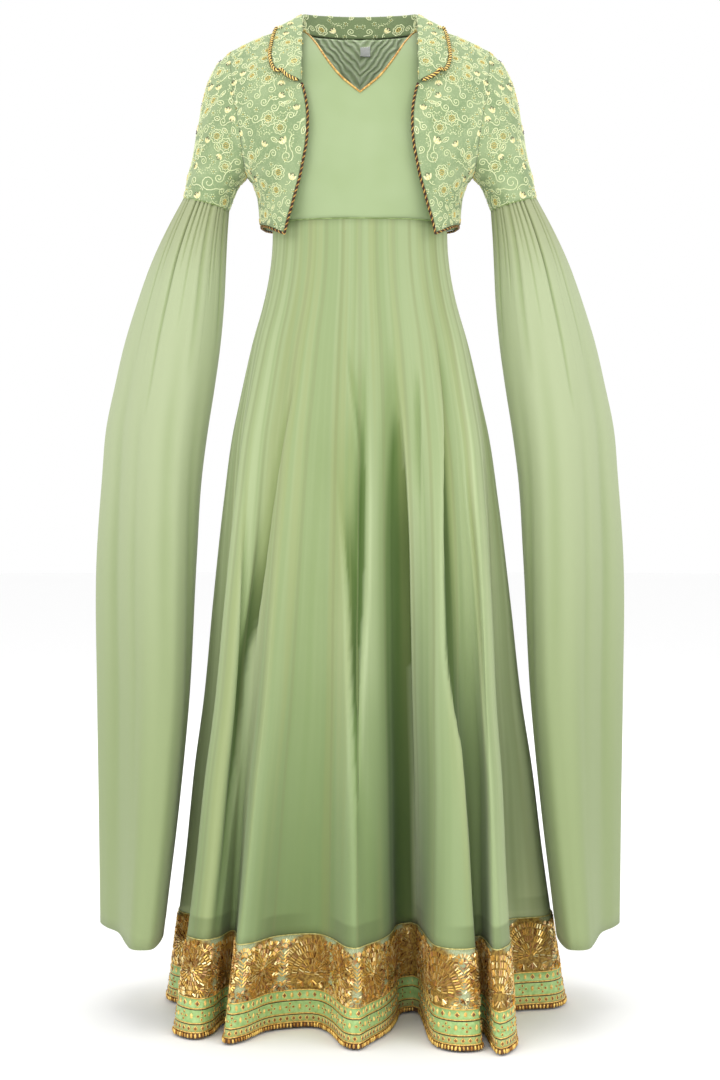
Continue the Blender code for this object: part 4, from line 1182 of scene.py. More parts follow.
FLARE_COLUMNS, FLARE_ROWS = 12 * GATHERS, 64
FLARE_LIGHT, FLARE_MIDDLE, FLARE_DEEP = tone(166, 177, 139), tone(148, 162, 118), tone(66, 76, 42)
flare_finish, flare_colour = georgette("sleeve georgette", FLARE_LIGHT, FLARE_MIDDLE, FLARE_DEEP)
flare_height = flare_finish.node("ShaderNodeSeparateXYZ", [flare_finish.here()], output="Z")
flare_colour = (flare_height.ease(-0.38, -0.25) * 0.35).mix(flare_colour, tone(134, 132, 92))
fall = flare_height.ease(-1.15, -0.45) * 0.65 + 0.35
flare_finish.paint("Base Color", fall.mix(tone(126, 142, 90), flare_colour))
flare_finish.bumpy(flare_finish.noise(900.0, 1.0), 0.4 * MM, 0.3)
flare_shares = np.linspace(0, 1, FLARE_ROWS + 1) ** 1.25
flare_parts = [flare_ring(share, FLARE_COLUMNS) for share in flare_shares]
flare_grid = closed_ring(np.array([ring for ring, _ in flare_parts]))
flare_hollow = closed_ring(np.array([dip for _, dip in flare_parts]))
flare_run = np.stack(np.meshgrid(np.linspace(0, 1, FLARE_COLUMNS + 1), flare_shares), axis=-1)
for side_name, mirror in SIDES:
    name, grid = f"flare_sleeve_{side_name}", to_side(flare_grid, mirror)[:, ::-1]
    dips = flare_hollow[:, ::-1] if mirror > 0 else flare_hollow
    made = cloth(f"{name}_cloth", grid, flare_finish, GEORGETTE, flare_run, closed=True, hollow=dips)
    fit(made, "georgette", name)


# The border's net: a stiff grey-green net stitched below the kalis, under a thin cord of pale gold.
# Behind each flower of its beadwork it is painted brown: partly its own ground, partly painted shade
# in the gaps between the beads.
BORDER_CLOTH = 2.2 * MM
FLOWER_SPACING = 0.0865
FLOWER_RADIUS = 0.0365
FLOWER_HEIGHT = (BORDER_TOP + BROCADE_TOP) / 2 - 1.5 * MM
BORDER_COLUMNS = 12 * KALIS
run_kalis = np.linspace(0, KALIS, 4097)
run_points, _ = skirt(run_kalis, FLOWER_HEIGHT)
hem_run = lengths(run_points)
HEM_LENGTH = hem_run[-1]
FLOWERS = 2 * round(HEM_LENGTH / FLOWER_SPACING / 2)
flower_step = HEM_LENGTH / FLOWERS


def border_band(name, top, foot, rows, finish, nodes, slot):
    """A band of the border, all round, mapped by its run along the hem and its height, in metres."""
    kalis = np.linspace(0, KALIS, BORDER_COLUMNS + 1)
    kali, height = np.meshgrid(kalis, np.linspace(top, foot, rows + 1))
    points, normals = skirt(kali, height)
    flat = np.stack([np.interp(kali, run_kalis, hem_run), height], axis=-1)
    band = cloth(name, points + normals * BORDER_PROUD, finish, BORDER_CLOTH, flat, closed=True)
    fit(band, slot, *nodes)


net = Finish("border net", {"Roughness": 0.7, "Specular IOR Level": 0.3})
net_run, net_height = net.uv()
near = (net_run / flower_step).maths("FRACT", net_run / flower_step) - 0.5
off_run = near * flower_step
off_height = net_height - FLOWER_HEIGHT
away = off_run * off_run + off_height * off_height * 0.8
away = away.maths("SQRT", away) + (net.noise(120.0, 2.0) - 0.5) * 0.012
# Painted shade: brown behind each flower, partly the net's own ground, partly the shade between the beads.
flower_ground_shade = 1 - away.ease(FLOWER_RADIUS * 0.95, FLOWER_RADIUS * 1.25)
net_tone = net.noise(700.0, 1.0).ease(0.35, 0.65).mix(tone(148, 160, 122), tone(182, 190, 152))
flower_ground_tone = net.noise(260.0, 2.0).ease(0.35, 0.65).mix(tone(118, 88, 36), tone(170, 138, 64))
net.paint("Base Color", flower_ground_shade.mix(net_tone, flower_ground_tone))
net.bumpy(net.noise(1300.0, 1.0), 0.5 * MM, 0.6)
net_nodes = "border_beadwork_front", "border_beadwork_back"
border_band("beadwork_net", BORDER_TOP, BROCADE_TOP, 6, net, net_nodes, "beadwork")


def hem_ring(height, lift):
    """A closed line round the skirt at a height, this far out from its cloth."""
    points, normals = skirt(np.linspace(0, KALIS, BORDER_COLUMNS + 1)[:-1], height)
    return points + normals * (BORDER_PROUD + lift)


pale_gold = plain("pale gold cord", tone(232, 222, 150), tone(190, 180, 104), 0.5, 200.0, {"Metallic": 0.3})
net_cord = threads("net_cord", [hem_ring(BORDER_TOP, 0.2 * MM)], 0.8 * MM, [pale_gold], closed=True)
fit(net_cord, "beadwork")


# The beadwork: bugle beads of gold, copper and bronze sewn in rings round each flower, in fans for the petals
# and in sprays that fill the gaps.
BEAD_WIDTH = 2.0 * MM
SIDE_SEAM_Y = 0.02


def bead_shape():
    """A small rod with three sides along X, one unit long and one across."""
    shape = bmesh.new()
    along_x = Matrix.Rotation(math.pi / 2, 4, "Y")
    bmesh.ops.create_cone(
        shape, cap_ends=True, segments=3, radius1=0.5, radius2=0.5, depth=1, matrix=along_x
    )
    return shape


def copies(name, shape, places, finish, tints=None, smooth=True):
    """One piece made of copies of a small shape. Each place is a 3 by 4 matrix, and each copy has a tint."""
    corners = np.array([vert.co[:] for vert in shape.verts])
    faces = [[vert.index for vert in face.verts] for face in shape.faces]
    shape.free()
    count = len(corners)
    placed = np.einsum("nij,pj->npi", places[:, :, :3], corners) + places[:, None, :, 3]
    listed = [[i + copy * count for i in face] for copy in range(len(places)) for face in faces]
    mesh = bpy.data.meshes.new(name)
    mesh.from_pydata(placed.reshape(-1, 3).tolist(), [], listed)
    if tints is not None:
        layer = mesh.attributes.new("tint", "FLOAT", "POINT")
        layer.data.foreach_set("value", np.repeat(tints, count))
    if smooth:
        mesh.shade_smooth()
    mesh.materials.append(finish.material)
    made = bpy.data.objects.new(name, mesh)
    bpy.context.collection.objects.link(made)
    return made


def frames(points, across, normals, angles, sizes):
    """Places for small shapes, each turned from the direction across and sized in three directions."""
    up = unit(np.cross(normals, across))
    across = unit(np.cross(up, normals))
    cosine, sine = np.cos(angles)[:, None], np.sin(angles)[:, None]
    first, second = across * cosine + up * sine, up * cosine - across * sine
    axes = np.stack([first, second, normals], axis=-1) * sizes[:, None, :]
    return np.concatenate([axes, points[..., None]], axis=-1)


def on_border(run, height, lift):
    """Points, directions along the hem and normals of the border, at runs along it and heights."""
    kali = np.interp(run % HEM_LENGTH, hem_run, run_kalis)
    points, normals = skirt(kali, height)
    ahead, _ = skirt(kali + 0.02, height)
    return points + normals * (BORDER_PROUD + lift)[:, None], unit(ahead - points), normals


def fan(centre, reach, length, count, middle, spread):
    """Rows for beads that point away from a centre: across, up, angle, length."""
    angles = middle + np.linspace(-spread / 2, spread / 2, count)
    out = reach + length / 2
    return [(centre[0] + out * math.cos(a), centre[1] + out * math.sin(a), a, length) for a in angles]


def full_flower(radius):
    """Rings of beads round a dense centre, and a fan of beads for each outer petal."""
    whole = 2 * math.pi
    rows = fan((0, 0), 0.5 * MM, 0.10 * radius, 8, 0.0, whole * 7 / 8)
    for reach, length, count in ((0.14, 0.13, 14), (0.28, 0.14, 22), (0.43, 0.14, 30), (0.58, 0.15, 38)):
        rows += fan((0, 0), reach * radius, length * radius, count, reach, whole * (count - 1) / count)
    for petal in range(12):
        angle = whole * petal / 12
        base = (0.74 * radius * math.cos(angle), 0.74 * radius * math.sin(angle))
        rows += fan(base, 0.03 * radius, 0.13 * radius, 5, angle, 2.2)
        rows += fan(base, 0.17 * radius, 0.14 * radius, 7, angle, 2.0)
    return rows


def open_fan(radius):
    """A flower seen from the side: a low heart with three arcs of beads over it and leaves below."""
    heart = (0.0, -0.45 * radius)
    rows = fan(heart, 0.10 * radius, 0.22 * radius, 9, math.pi / 2, 3.4)
    rows += fan(heart, 0.38 * radius, 0.24 * radius, 17, math.pi / 2, 3.5)
    rows += fan(heart, 0.68 * radius, 0.24 * radius, 27, math.pi / 2, 3.5)
    rows += fan(heart, 0.98 * radius, 0.24 * radius, 34, math.pi / 2, 3.3)
    rows += fan(heart, 1.28 * radius, 0.20 * radius, 30, math.pi / 2, 2.6)
    for side in (-1, 1):
        leaf_foot = (side * 0.42 * radius, -0.80 * radius)
        rows += fan(leaf_foot, 0.0, 0.24 * radius, 7, -math.pi / 2 + side * 0.9, 2.2)
    rows += fan((0.0, -0.72 * radius), 0.02 * radius, 0.26 * radius, 5, -math.pi / 2, 1.6)
    return rows


def gap_sprays(step):
    """Small sprays between two flowers, at the top and the foot, and rungs of beads between them."""
    rows = []
    for height, middle in ((23 * MM, math.pi / 2), (-25 * MM, -math.pi / 2)):
        rows += fan((0.0, height), 1 * MM, 5 * MM, 9, middle, 4.0)
        rows += fan((0.0, height), 7 * MM, 5.5 * MM, 15, middle, 3.6)
        for side in (-1, 1):
            rows += fan((side * 15 * MM, height * 1.25), 1 * MM, 5 * MM, 7, middle - side * 0.5, 3.0)
    for rung in range(7):
        for side in (-1, 1):
            rows.append((side * 2.2 * MM, (rung * 5.2 - 15) * MM, math.pi / 2 - side * 0.8, 5.2 * MM))
            rows.append((side * 6.0 * MM, (rung * 5.2 - 12) * MM, math.pi / 2 - side * 0.8, 4.6 * MM))
    return [(a + step / 2, b, turn, length) for a, b, turn, length in rows]


rng = np.random.default_rng(11)
bead_rows = []
for number in range(FLOWERS):
    centre = (number + 0.5) * flower_step
    flower = open_fan(0.90 * FLOWER_RADIUS) if number % 3 == 1 else full_flower(FLOWER_RADIUS * 1.04)
    for across, up, angle, length in flower + gap_sprays(flower_step):
        bead_rows.append((centre + across, FLOWER_HEIGHT + up, angle, length))
bead_rows = np.array(bead_rows)
inside = (bead_rows[:, 1] < BORDER_TOP - 3.5 * MM) & (bead_rows[:, 1] > BROCADE_TOP + 2.5 * MM)
bead_rows = bead_rows[inside]
shift = rng.normal(0, 1, (len(bead_rows), 4))
points, across, normals = on_border(
    bead_rows[:, 0] + shift[:, 0] * 0.25 * MM,
    bead_rows[:, 1] + shift[:, 1] * 0.25 * MM,
    0.75 * MM + 0.25 * MM * np.abs(shift[:, 2]),
)
angles = bead_rows[:, 2] + shift[:, 3] * 0.12
widths = np.full(len(angles), BEAD_WIDTH)
sizes = np.stack([bead_rows[:, 3] * 0.98, widths, widths], axis=-1)
bead_places = frames(points, across, normals, angles, sizes)
tints = rng.random(len(angles))

beads = Finish("bugle beads", {"Roughness": 0.25, "Metallic": 0.6})
tint = beads.carried("tint")
# Painted glints: the palest tints stand in for highlights on the gold beads.
gold_and_glint = tint.ease(0.0, 0.45).mix(tone(255, 238, 178), tone(232, 186, 92))
copper = tint.ease(0.60, 0.85).mix(gold_and_glint, tone(202, 156, 106))
beads.paint("Base Color", tint.ease(0.88, 1.0).mix(copper, tone(120, 70, 26)))
is_front = points[:, 1] < SIDE_SEAM_Y
for side_name, chosen in (("front", is_front), ("back", ~is_front)):
    name = f"bugle_beads_{side_name}"
    made = copies(name, bead_shape(), bead_places[chosen], beads, tints[chosen], smooth=False)
    fit(made, "beadwork")


# The brocade strip: bright green satin with three woven rows, parted by pairs of gold and dark cords. Stones
# of brown and drops of gold are set in the rows.
brocade = Finish("green brocade", {"Roughness": 0.5, "Specular IOR Level": 0.4, "Sheen Weight": 0.15})
run_at, height_at = brocade.uv()
ribs = (run_at * 1500.0).maths("SINE", run_at * 1500.0)
slub = brocade.noise(160.0, 3.0)
lower_row = 1 - height_at.ease(-1.3885, -1.3860)
strip = slub.ease(0.3, 0.7).mix(tone(142, 178, 106), tone(168, 198, 128))
brocade.paint("Base Color", (lower_row * 0.6).mix(strip, tone(178, 180, 112)))
brocade.bumpy(ribs * 0.3 + slub, 0.3 * MM, 0.5)
brocade_nodes = "border_brocade_front", "border_brocade_back"
border_band("brocade_strip", BROCADE_TOP, EDGING_TOP, 4, brocade, brocade_nodes, "brocade")
FIRST_CORD, SECOND_CORD = -1.3675, -1.3870
gold_thread = plain("gold thread", tone(252, 218, 128), tone(214, 168, 86), 0.4, 300.0, {"Metallic": 0.4})
dark_thread = plain("dark thread", tone(72, 52, 26), tone(44, 30, 14), 0.6, 300.0)
rings = [hem_ring(BROCADE_TOP, 0.2 * MM)]
rings += [hem_ring(height, 0.2 * MM) for height in (FIRST_CORD, SECOND_CORD)]
rings.append(hem_ring(EDGING_TOP + 0.6 * MM, 0.2 * MM))
gold_cords = threads("brocade_gold_cords", rings, 0.95 * MM, [gold_thread], closed=True)
fit(gold_cords, "brocade")
rings = [hem_ring(height - 1.5 * MM, 0.1 * MM) for height in (FIRST_CORD, SECOND_CORD)]
dark_cords = threads("brocade_dark_cords", rings, 0.65 * MM, [dark_thread], closed=True)
fit(dark_cords, "brocade")

# Row of the strip: height, spacing, stone width and height, drop width and height (0 where it has none)
STONE_ROWS = (
    (-1.3607, 0.0210, 6.6 * MM, 8.2 * MM, 5.0 * MM, 8.4 * MM),
    (-1.3775, 0.0270, 0.0, 0.0, 5.0 * MM, 8.6 * MM),
    (-1.3935, 0.0088, 5.4 * MM, 6.6 * MM, 0.0, 0.0),
)
CROSS_REACH = 4.6 * MM
CROSS_STONE = 4.4 * MM, 3.2 * MM
stones, settings, drops = [], [], []
for height, spacing, width, tall, drop_width, drop_tall in STONE_ROWS:
    count = round(HEM_LENGTH / spacing)
    for number in range(count):
        run = number * HEM_LENGTH / count
        half = HEM_LENGTH / count / 2
        if width:
            stones.append((run, height, 0.0, width, tall))
            settings.append((run, height, 0.0, width + 1.6 * MM, tall + 1.8 * MM))
        else:
            for across, up in ((1, 0), (-1, 0), (0, 1), (0, -1)):
                at = (run + across * CROSS_REACH, height + up * CROSS_REACH)
                wide, high = CROSS_STONE if across else CROSS_STONE[::-1]
                stones.append((*at, 0.0, wide, high))
                settings.append((*at, 0.0, wide + 1.3 * MM, high + 1.3 * MM))
            drops.append((run, height, 0.0, 2.0 * MM, 2.0 * MM))
        if drop_width:
            drops.append((run + half, height, 0.0, drop_width, drop_tall))
brown_stone = plain("brown stones", tone(150, 102, 50), tone(108, 68, 28), 0.35, 300.0)
for name, rows, thick, segments, top, finish in (
    ("stone_settings", settings, 0.7 * MM, 4, 0.8, gold_thread),
    ("brown_stones", stones, 1.5 * MM, 4, 0.55, brown_stone),
    ("gold_drops", drops, 1.6 * MM, 6, 0.35, gold_thread),
):
    rows = np.array(rows)
    shape = bmesh.new()
    bmesh.ops.create_cone(shape, cap_ends=True, segments=segments, radius1=0.5, radius2=0.5 * top, depth=1)
    points, across, normals = on_border(rows[:, 0], rows[:, 1], np.full(len(rows), thick / 2 - 0.1 * MM))
    sizes = np.stack([rows[:, 3], rows[:, 4], np.full(len(rows), thick)], axis=-1)
    places = frames(points, across, normals, rows[:, 2], sizes)
    fit(copies(name, shape, places, finish, smooth=False), "brocade")


# The hem's edging: a narrow dark band under a row of gold drop beads. The beads are sewn on side by side and
# reach a little below the band, which gives the hem its scalloped edge.
edging_ground = plain("edging ground", tone(120, 80, 36), tone(78, 48, 20), 0.6, 150.0)
edging_nodes = "hem_edging_front", "hem_edging_back"
border_band("edging_band", EDGING_TOP, HEM, 2, edging_ground, edging_nodes, "hem_edging")
DROP_SPACING = 4.6 * MM
count = round(HEM_LENGTH / DROP_SPACING)
run = np.arange(count) * HEM_LENGTH / count
shift = rng.normal(0, 1, (count, 3))
drop_heights = (EDGING_TOP + HEM) / 2 + shift[:, 0] * 0.25 * MM
points, across, normals = on_border(run, drop_heights, np.full(count, 0.9 * MM))
sizes = np.array([3.7, 7.6, 3.2]) * MM * (1 + 0.08 * shift[:, 1:2])
shape = bmesh.new()
bmesh.ops.create_uvsphere(shape, u_segments=6, v_segments=3, radius=0.5)
edging_gold = Finish("edging gold", {"Roughness": 0.3, "Metallic": 0.75})
edging_tint = edging_gold.carried("tint")
edging_gold.paint("Base Color", edging_tint.ease(0.3, 1.0).mix(tone(255, 216, 120), tone(176, 120, 52)))
places = frames(points, across, normals, shift[:, 2] * 0.12, sizes)
fit(copies("edging_drops", shape, places, edging_gold, rng.random(count)), "hem_edging")


# The elbow seams: the gathers are caught under the upper sleeve's turned edge, which stands out as a
# fine rib.
for side_name, mirror in SIDES:
    name, rib = f"elbow_seam_{side_name}", upper_rings[-1] * np.array([mirror, 1, 1])
    elbow_seam = threads(name, [rib], 1.1 * MM, [seam_finish], closed=True, sides_level=1)
    fit(elbow_seam, "embroidered_cloth")


# The rope trim: strands of dark brown and gold twisted together and couched along the collar's outer edge,
# the front edges with their hem corners, and the back hem. The collar's has four strands, the others three.
# The dark brown strands are painted shade: they stand in for the shade in the gaps of the twist.
FRONT_CORD_RADIUS = 2.0 * MM
COLLAR_CORD_RADIUS = 2.8 * MM
CORD_END_GAP = 1.2 * MM
POINTS_PER_TWIST = 8


def beside(points, normals, distance):
    """A line this far to the side of another, in the surface with these normals."""
    after = np.roll(points, -1, axis=0) - points
    sides = unit(np.cross(unit(after), unit(normals)))
    sides[-1] = sides[-2]
    before = np.roll(sides, 1, axis=0)
    before[0] = sides[0]
    middle = unit(sides + before)
    return points + distance * middle / np.maximum((middle * sides).sum(axis=1), 0.5)[:, None]


def rope(name, node, path, normals, radius, twist, strand_finishes):
    """Strands twisted round a path, one turn in each twist's length."""
    run = lengths(path)
    steps = math.ceil(run[-1] / twist * POINTS_PER_TWIST)
    at = np.linspace(0, run[-1], steps + 1)
    centre = np.stack([np.interp(at, run, axis) for axis in path.T], axis=-1)
    out = unit(np.stack([np.interp(at, run, axis) for axis in normals.T], axis=-1))
    across = unit(np.cross(np.gradient(centre, axis=0), out))
    strands = []
    for strand in range(len(strand_finishes)):
        turn = (2 * math.pi * (at / twist + strand / len(strand_finishes)))[:, None]
        strands.append(centre + 0.55 * radius * (np.cos(turn) * out + np.sin(turn) * across))
    fit(threads(name, strands, 0.46 * radius, strand_finishes), "rope_trim", node)


FRONT_TWIST, COLLAR_TWIST = 8.0 * MM, 11.0 * MM
rope_gold = plain("rope gold", tone(255, 228, 138), tone(234, 196, 100), 0.42, 350.0, {"Metallic": 0.3})
# Painted shade: the dark brown strands stand in for the shade in the gaps of the twist.
rope_shade_brown = plain("rope brown shade", tone(72, 36, 14), tone(46, 22, 8), 0.6, 350.0)
rope_bronze = plain("rope bronze", tone(222, 180, 98), tone(176, 130, 62), 0.45, 350.0, {"Metallic": 0.3})
front_strands = [rope_shade_brown, rope_bronze, rope_shade_brown]
for side_name, mirror in SIDES:
    points, normals = front_grids[side_name]
    edge_rows = slice(NECKLINE_ROWS * JACKET_FINE, None)
    path = np.concatenate([points[edge_rows, 0], points[-1, 1:]])
    out = np.concatenate([normals[edge_rows, 0], normals[-1, 1:]])
    path = beside(path - out * JACKET_CLOTH / 2, out, FRONT_CORD_RADIUS + SEAM_GAP)
    path[-1, 1] = -CORD_END_GAP
    flip = np.array([mirror, 1, 1])
    name, node = f"front_rope_{side_name}", f"front_cord_{side_name}"
    rope(name, node, path * flip, out * flip, FRONT_CORD_RADIUS, FRONT_TWIST, front_strands)
path = back_points[-1] - back_normals[-1] * JACKET_CLOTH / 2 - np.array([0, 0, FRONT_CORD_RADIUS + SEAM_GAP])
path[[0, -1], 1] = CORD_END_GAP
rope("back_hem_rope", "back_hem_cord", path, back_normals[-1], FRONT_CORD_RADIUS, FRONT_TWIST, front_strands)
from_roll = COLLAR_ROLL_COLUMN * COLLAR_FINE


def round_the_collar(grid):
    return np.concatenate([grid[0, from_roll:], grid[1:-1, -1], grid[-1, from_roll:][::-1]])


out = round_the_collar(collar_out)
path = beside(round_the_collar(collar_points), out, COLLAR_CORD_RADIUS + SEAM_GAP)
rope("collar_rope", "collar_cord", path, out, COLLAR_CORD_RADIUS, COLLAR_TWIST, [rope_gold, rope_shade_brown] * 2)


# The embroidery: flowers, buds, scrolls, leaves and seed sprays worked in cream cord, pale satin stitch and
# gold and dark beads over the whole jacket, with the left side a mirror image of the right.
def circle(radius, steps):
    turn = np.linspace(0, 2 * math.pi, steps + 1)
    return radius * np.stack([np.cos(turn), np.sin(turn)], axis=-1)


CREAM, PALE, GOLD, DARK = range(4)


def flower():
    """A round flower 21 mm across: a scalloped outline, a ring and a centre of gold beads."""
    turn = np.linspace(0, 2 * math.pi, 33)
    reach = 8.6 + 2.0 * np.abs(np.sin(4 * turn)) ** 0.7
    lines = [reach[:, None] * np.stack([np.cos(turn), np.sin(turn)], axis=-1), circle(5.6, 12)]
    seeds = [(0, 0, 0, 2.2, 2.2, GOLD)]
    for number in range(9):
        a = 2 * math.pi * number / 9
        seeds.append((3.4 * math.cos(a), 3.4 * math.sin(a), a, 3.0, 1.3, GOLD))
    for number in range(8):
        a = 2 * math.pi * (number + 0.5) / 8
        seeds.append((7.4 * math.cos(a), 7.4 * math.sin(a), a, 2.6, 1.6, PALE))
    return lines, seeds


def bud():
    """A tulip-like bud of three satin petals, with beads on it, on a short curved stem."""
    seeds = [(0, 0.6, 1.571, 12.5, 5.6, PALE)]
    seeds += [(-3.6, 0.2, 2.05, 11.0, 4.4, PALE), (3.6, 0.2, 1.09, 11.0, 4.4, PALE)]
    gold_at = ((-1.8, -2.0), (1.6, -1.6), (0, 0.8), (-3.4, 1.2), (3.2, 1.4))
    seeds += [(x, y, 1.3, 1.9, 1.5, GOLD) for x, y in gold_at]
    dark_at = ((-2.0, 4.2), (0.4, 5.6), (2.6, 4.0), (0.0, 2.8))
    seeds += [(x, y, 0.8, 1.7, 1.4, DARK) for x, y in dark_at]
    stem = smooth_line([(0, -5.5), (0.8, -8.5), (3.0, -11.5), (6.0, -13.0)], fine=3)
    return [stem], seeds + [(4.2, -8.6, 0.9, 4.2, 2.0, CREAM)]


def scroll():
    """A cord that winds into a spiral from a curved tail."""
    radius, turns = 6.6, 1.75
    share = np.linspace(1, 0.16, 17)
    turn = 2 * math.pi * turns * (1 - share)
    curl = radius * share[:, None] * np.stack([np.cos(turn), np.sin(turn)], axis=-1)
    tail = [(2.5, -2.0), (1.9, -1.9), (1.3, -1.3), (1.02, -0.6), (1.0, 0.0)]
    cord = np.concatenate([np.array(tail[:-1]) * radius, curl])
    return [cord], [(2.1 * radius, -1.5 * radius, 0.6, 3.2, 1.7, CREAM)]


def dots():
    """A small flower of six seeds round a gold one."""
    seeds = [(0, 0, 0, 1.7, 1.7, GOLD)]
    for number in range(6):
        a = math.pi / 3 * number
        seeds.append((3.2 * math.cos(a), 3.2 * math.sin(a), a, 3.0, 2.6, CREAM))
    return [], seeds


def spray():
    """Seeds in a fan, with a row of smaller ones beyond."""
    seeds = []
    for number in range(5):
        a = 0.5 + 2.14 * number / 4
        seeds.append((4.2 * math.cos(a), 4.2 * math.sin(a) - 2.5, a, 3.8, 2.2, CREAM))
        seeds.append((7.8 * math.cos(a), 7.8 * math.sin(a) - 2.5, a, 2.2, 2.2, CREAM))
    return [], seeds


def leaf():
    """A leaf outlined in cord, with satin stitch down its middle."""
    corners = [(-6, 0), (-2.5, 2.9), (2.5, 2.5), (6, 0), (2.0, -2.4), (-2.5, -2.7)]
    rim = smooth_line(corners, closed=True, fine=2)
    return [rim], [(0, 0, 0, 8.0, 1.8, PALE)]


def vine():
    """A wandering stem with seeds to its sides."""
    places = ((-7, 3.4, 1.9), (-2.5, -1.5, -0.9), (3, 3.2, 1.4), (7.5, -2.2, -0.7))
    seeds = [(x, y, a, 2.8, 1.5, CREAM) for x, y, a in places]
    return [smooth_line([(-11, -1), (-6, 1.4), (-1, 0.6), (4, 0.4), (9, 1.8)], fine=2)], seeds


# Motif: how it is drawn, and the room it takes to each side
MOTIFS = {
    "flower": (flower, 11.0),
    "bud": (bud, 8.5),
    "scroll": (scroll, 8.5),
    "dots": (dots, 4.6),
    "spray": (spray, 5.6),
    "leaf": (leaf, 5.5),
    "vine": (vine, 7.0),
}
# On the right front and the right sleeve: motif, x, height (mm), turn (degrees), size
PLACED = (
    ("flower", 129, -83, 0, 1.0),
    ("flower", 128, -142, 20, 1.05),
    ("flower", 114, -216, 10, 1.0),
    ("flower", 152, -192, 0, 0.8),
    ("flower", 133, -271, 30, 0.8),
    ("flower", 174, -52, 0, 0.8),
    ("bud", 110, -110, 40, 0.9),
    ("bud", 107, -174, -35, 1.1),
    ("bud", 166, -72, -10, 0.9),
    ("bud", 147, -221, 10, 0.9),
    ("bud", 88, -128, -10, 0.9),
    ("scroll", 166, -84, 60, 1.0),
    ("scroll", 134, -118, 200, 0.95),
    ("scroll", 154, -160, 90, 0.9),
    ("scroll", 121, -190, 20, 0.85),
    ("scroll", 96, -139, 10, 0.8),
    ("scroll", 102, -195, 150, 1.5),
    ("dots", 152, -42, 0, 1.0),
    ("dots", 137, -67, 10, 1.0),
    ("dots", 151, -172, 20, 1.0),
    ("dots", 130, -247, 0, 1.1),
    ("dots", 105, -242, 15, 1.0),
    ("dots", 130, -193, 5, 1.0),
    ("dots", 104, -200, 0, 0.9),
    ("dots", 145, -128, 0, 1.0),
    ("dots", 118, -60, 20, 1.0),
    ("dots", 160, -110, 0, 1.0),
    ("spray", 107, -134, 180, 1.0),
    ("spray", 130, -163, 0, 1.1),
    ("spray", 112, -271, 30, 1.0),
    ("spray", 150, -100, -30, 1.0),
    ("flower", 189, -174, 0, 1.0),
    ("flower", 194, -249, 10, 1.0),
    ("flower", 191, -202, 20, 0.85),
    ("bud", 201, -89, -20, 0.9),
    ("bud", 187, -125, 10, 1.0),
    ("bud", 217, -165, 25, 0.9),
    ("bud", 231, -242, -30, 1.0),
    ("bud", 180, -100, 0, 0.8),
    ("scroll", 193, -140, 230, 0.95),
    ("scroll", 200, -218, 190, 1.0),
    ("scroll", 176, -221, 140, 0.9),
    ("scroll", 222, -193, 80, 0.95),
    ("scroll", 215, -224, 250, 1.7),
    ("dots", 208, -126, 0, 1.0),
    ("dots", 208, -148, 20, 1.0),
    ("spray", 215, -202, 150, 1.0),
    ("dots", 172, -163, 0, 1.0),
    ("dots", 189, -234, 0, 1.0),
)
# What fills the rest: motif and how many tries it is given on each square metre of cloth
FILLERS = (
    ("flower", 1200),
    ("bud", 1500),
    ("scroll", 5000),
    ("leaf", 3000),
    ("vine", 3000),
    ("spray", 8000),
    ("dots", 26000),
)
CROWDING = 0.90
RAY_START = 14 * MM
LEAST_FACING = 0.35
SLEEVE_FROM_X, SLEEVE_BELOW = 168, -60


class Ground:
    """One panel's outside, which finds the place and the normal of each stitch."""

    def __init__(self, grid, normals):
        rows, columns = grid.shape[:2]
        corner = np.arange(rows * columns).reshape(rows, columns)
        corners = [corner[:-1, :-1], corner[1:, :-1], corner[1:, 1:], corner[:-1, 1:]]
        faces = np.stack(corners, axis=-1).reshape(-1, 4)
        places = grid.reshape(-1, 3)
        self.tree = BVHTree.FromPolygons(places.tolist(), faces.tolist())
        self.centres = places[faces].mean(axis=1)
        self.outwards = unit(normals.reshape(-1, 3)[faces].mean(axis=1))
        a, b, c, d = np.moveaxis(places[faces], 1, 0)
        self.areas = np.linalg.norm(np.cross(c - a, d - b), axis=-1) / 2
        self.taken = []

    def free(self, place, reach):
        return all(np.linalg.norm(place - other) > (reach + room) * CROWDING for other, room in self.taken)

    def sew(self, kind, place, outwards, turn, size):
        """Adds a motif with its centre at a place. What would hang over the panel's edge is cut off."""
        draw, reach = MOTIFS[kind]
        self.taken.append((place, reach * size * MM))
        across = unit(np.cross((0.0, 0.0, 1.0), outwards))
        up = np.cross(outwards, across)
        cosine, sine = math.cos(turn) * size * MM, math.sin(turn) * size * MM
        lines, seeds = draw()

        def land(x, y):
            spot = place + (x * cosine - y * sine) * across + (x * sine + y * cosine) * up
            start = Vector(spot + outwards * RAY_START)
            hit, normal, _, _ = self.tree.ray_cast(start, Vector(-outwards), RAY_START * 2)
            if hit is None or abs(np.dot(normal, outwards)) < LEAST_FACING:
                return None
            normal = np.array(normal)
            return np.array(hit), normal if normal @ outwards > 0 else -normal

        for line in lines:
            stretch = []
            for landed in [*(land(x, y) for x, y in line), None]:
                if landed:
                    stretch.append(landed[0] + landed[1] * THREAD_LIFT)
                    continue
                if len(stretch) > 1:
                    cords.append(np.array(stretch))
                stretch = []
        for x, y, angle, length, width, shade in seeds:
            landed = land(x, y)
            if landed:
                row = (*landed[0], *landed[1], *across, angle + turn, length * size * MM, width * size * MM)
                stitches[shade].append(row)


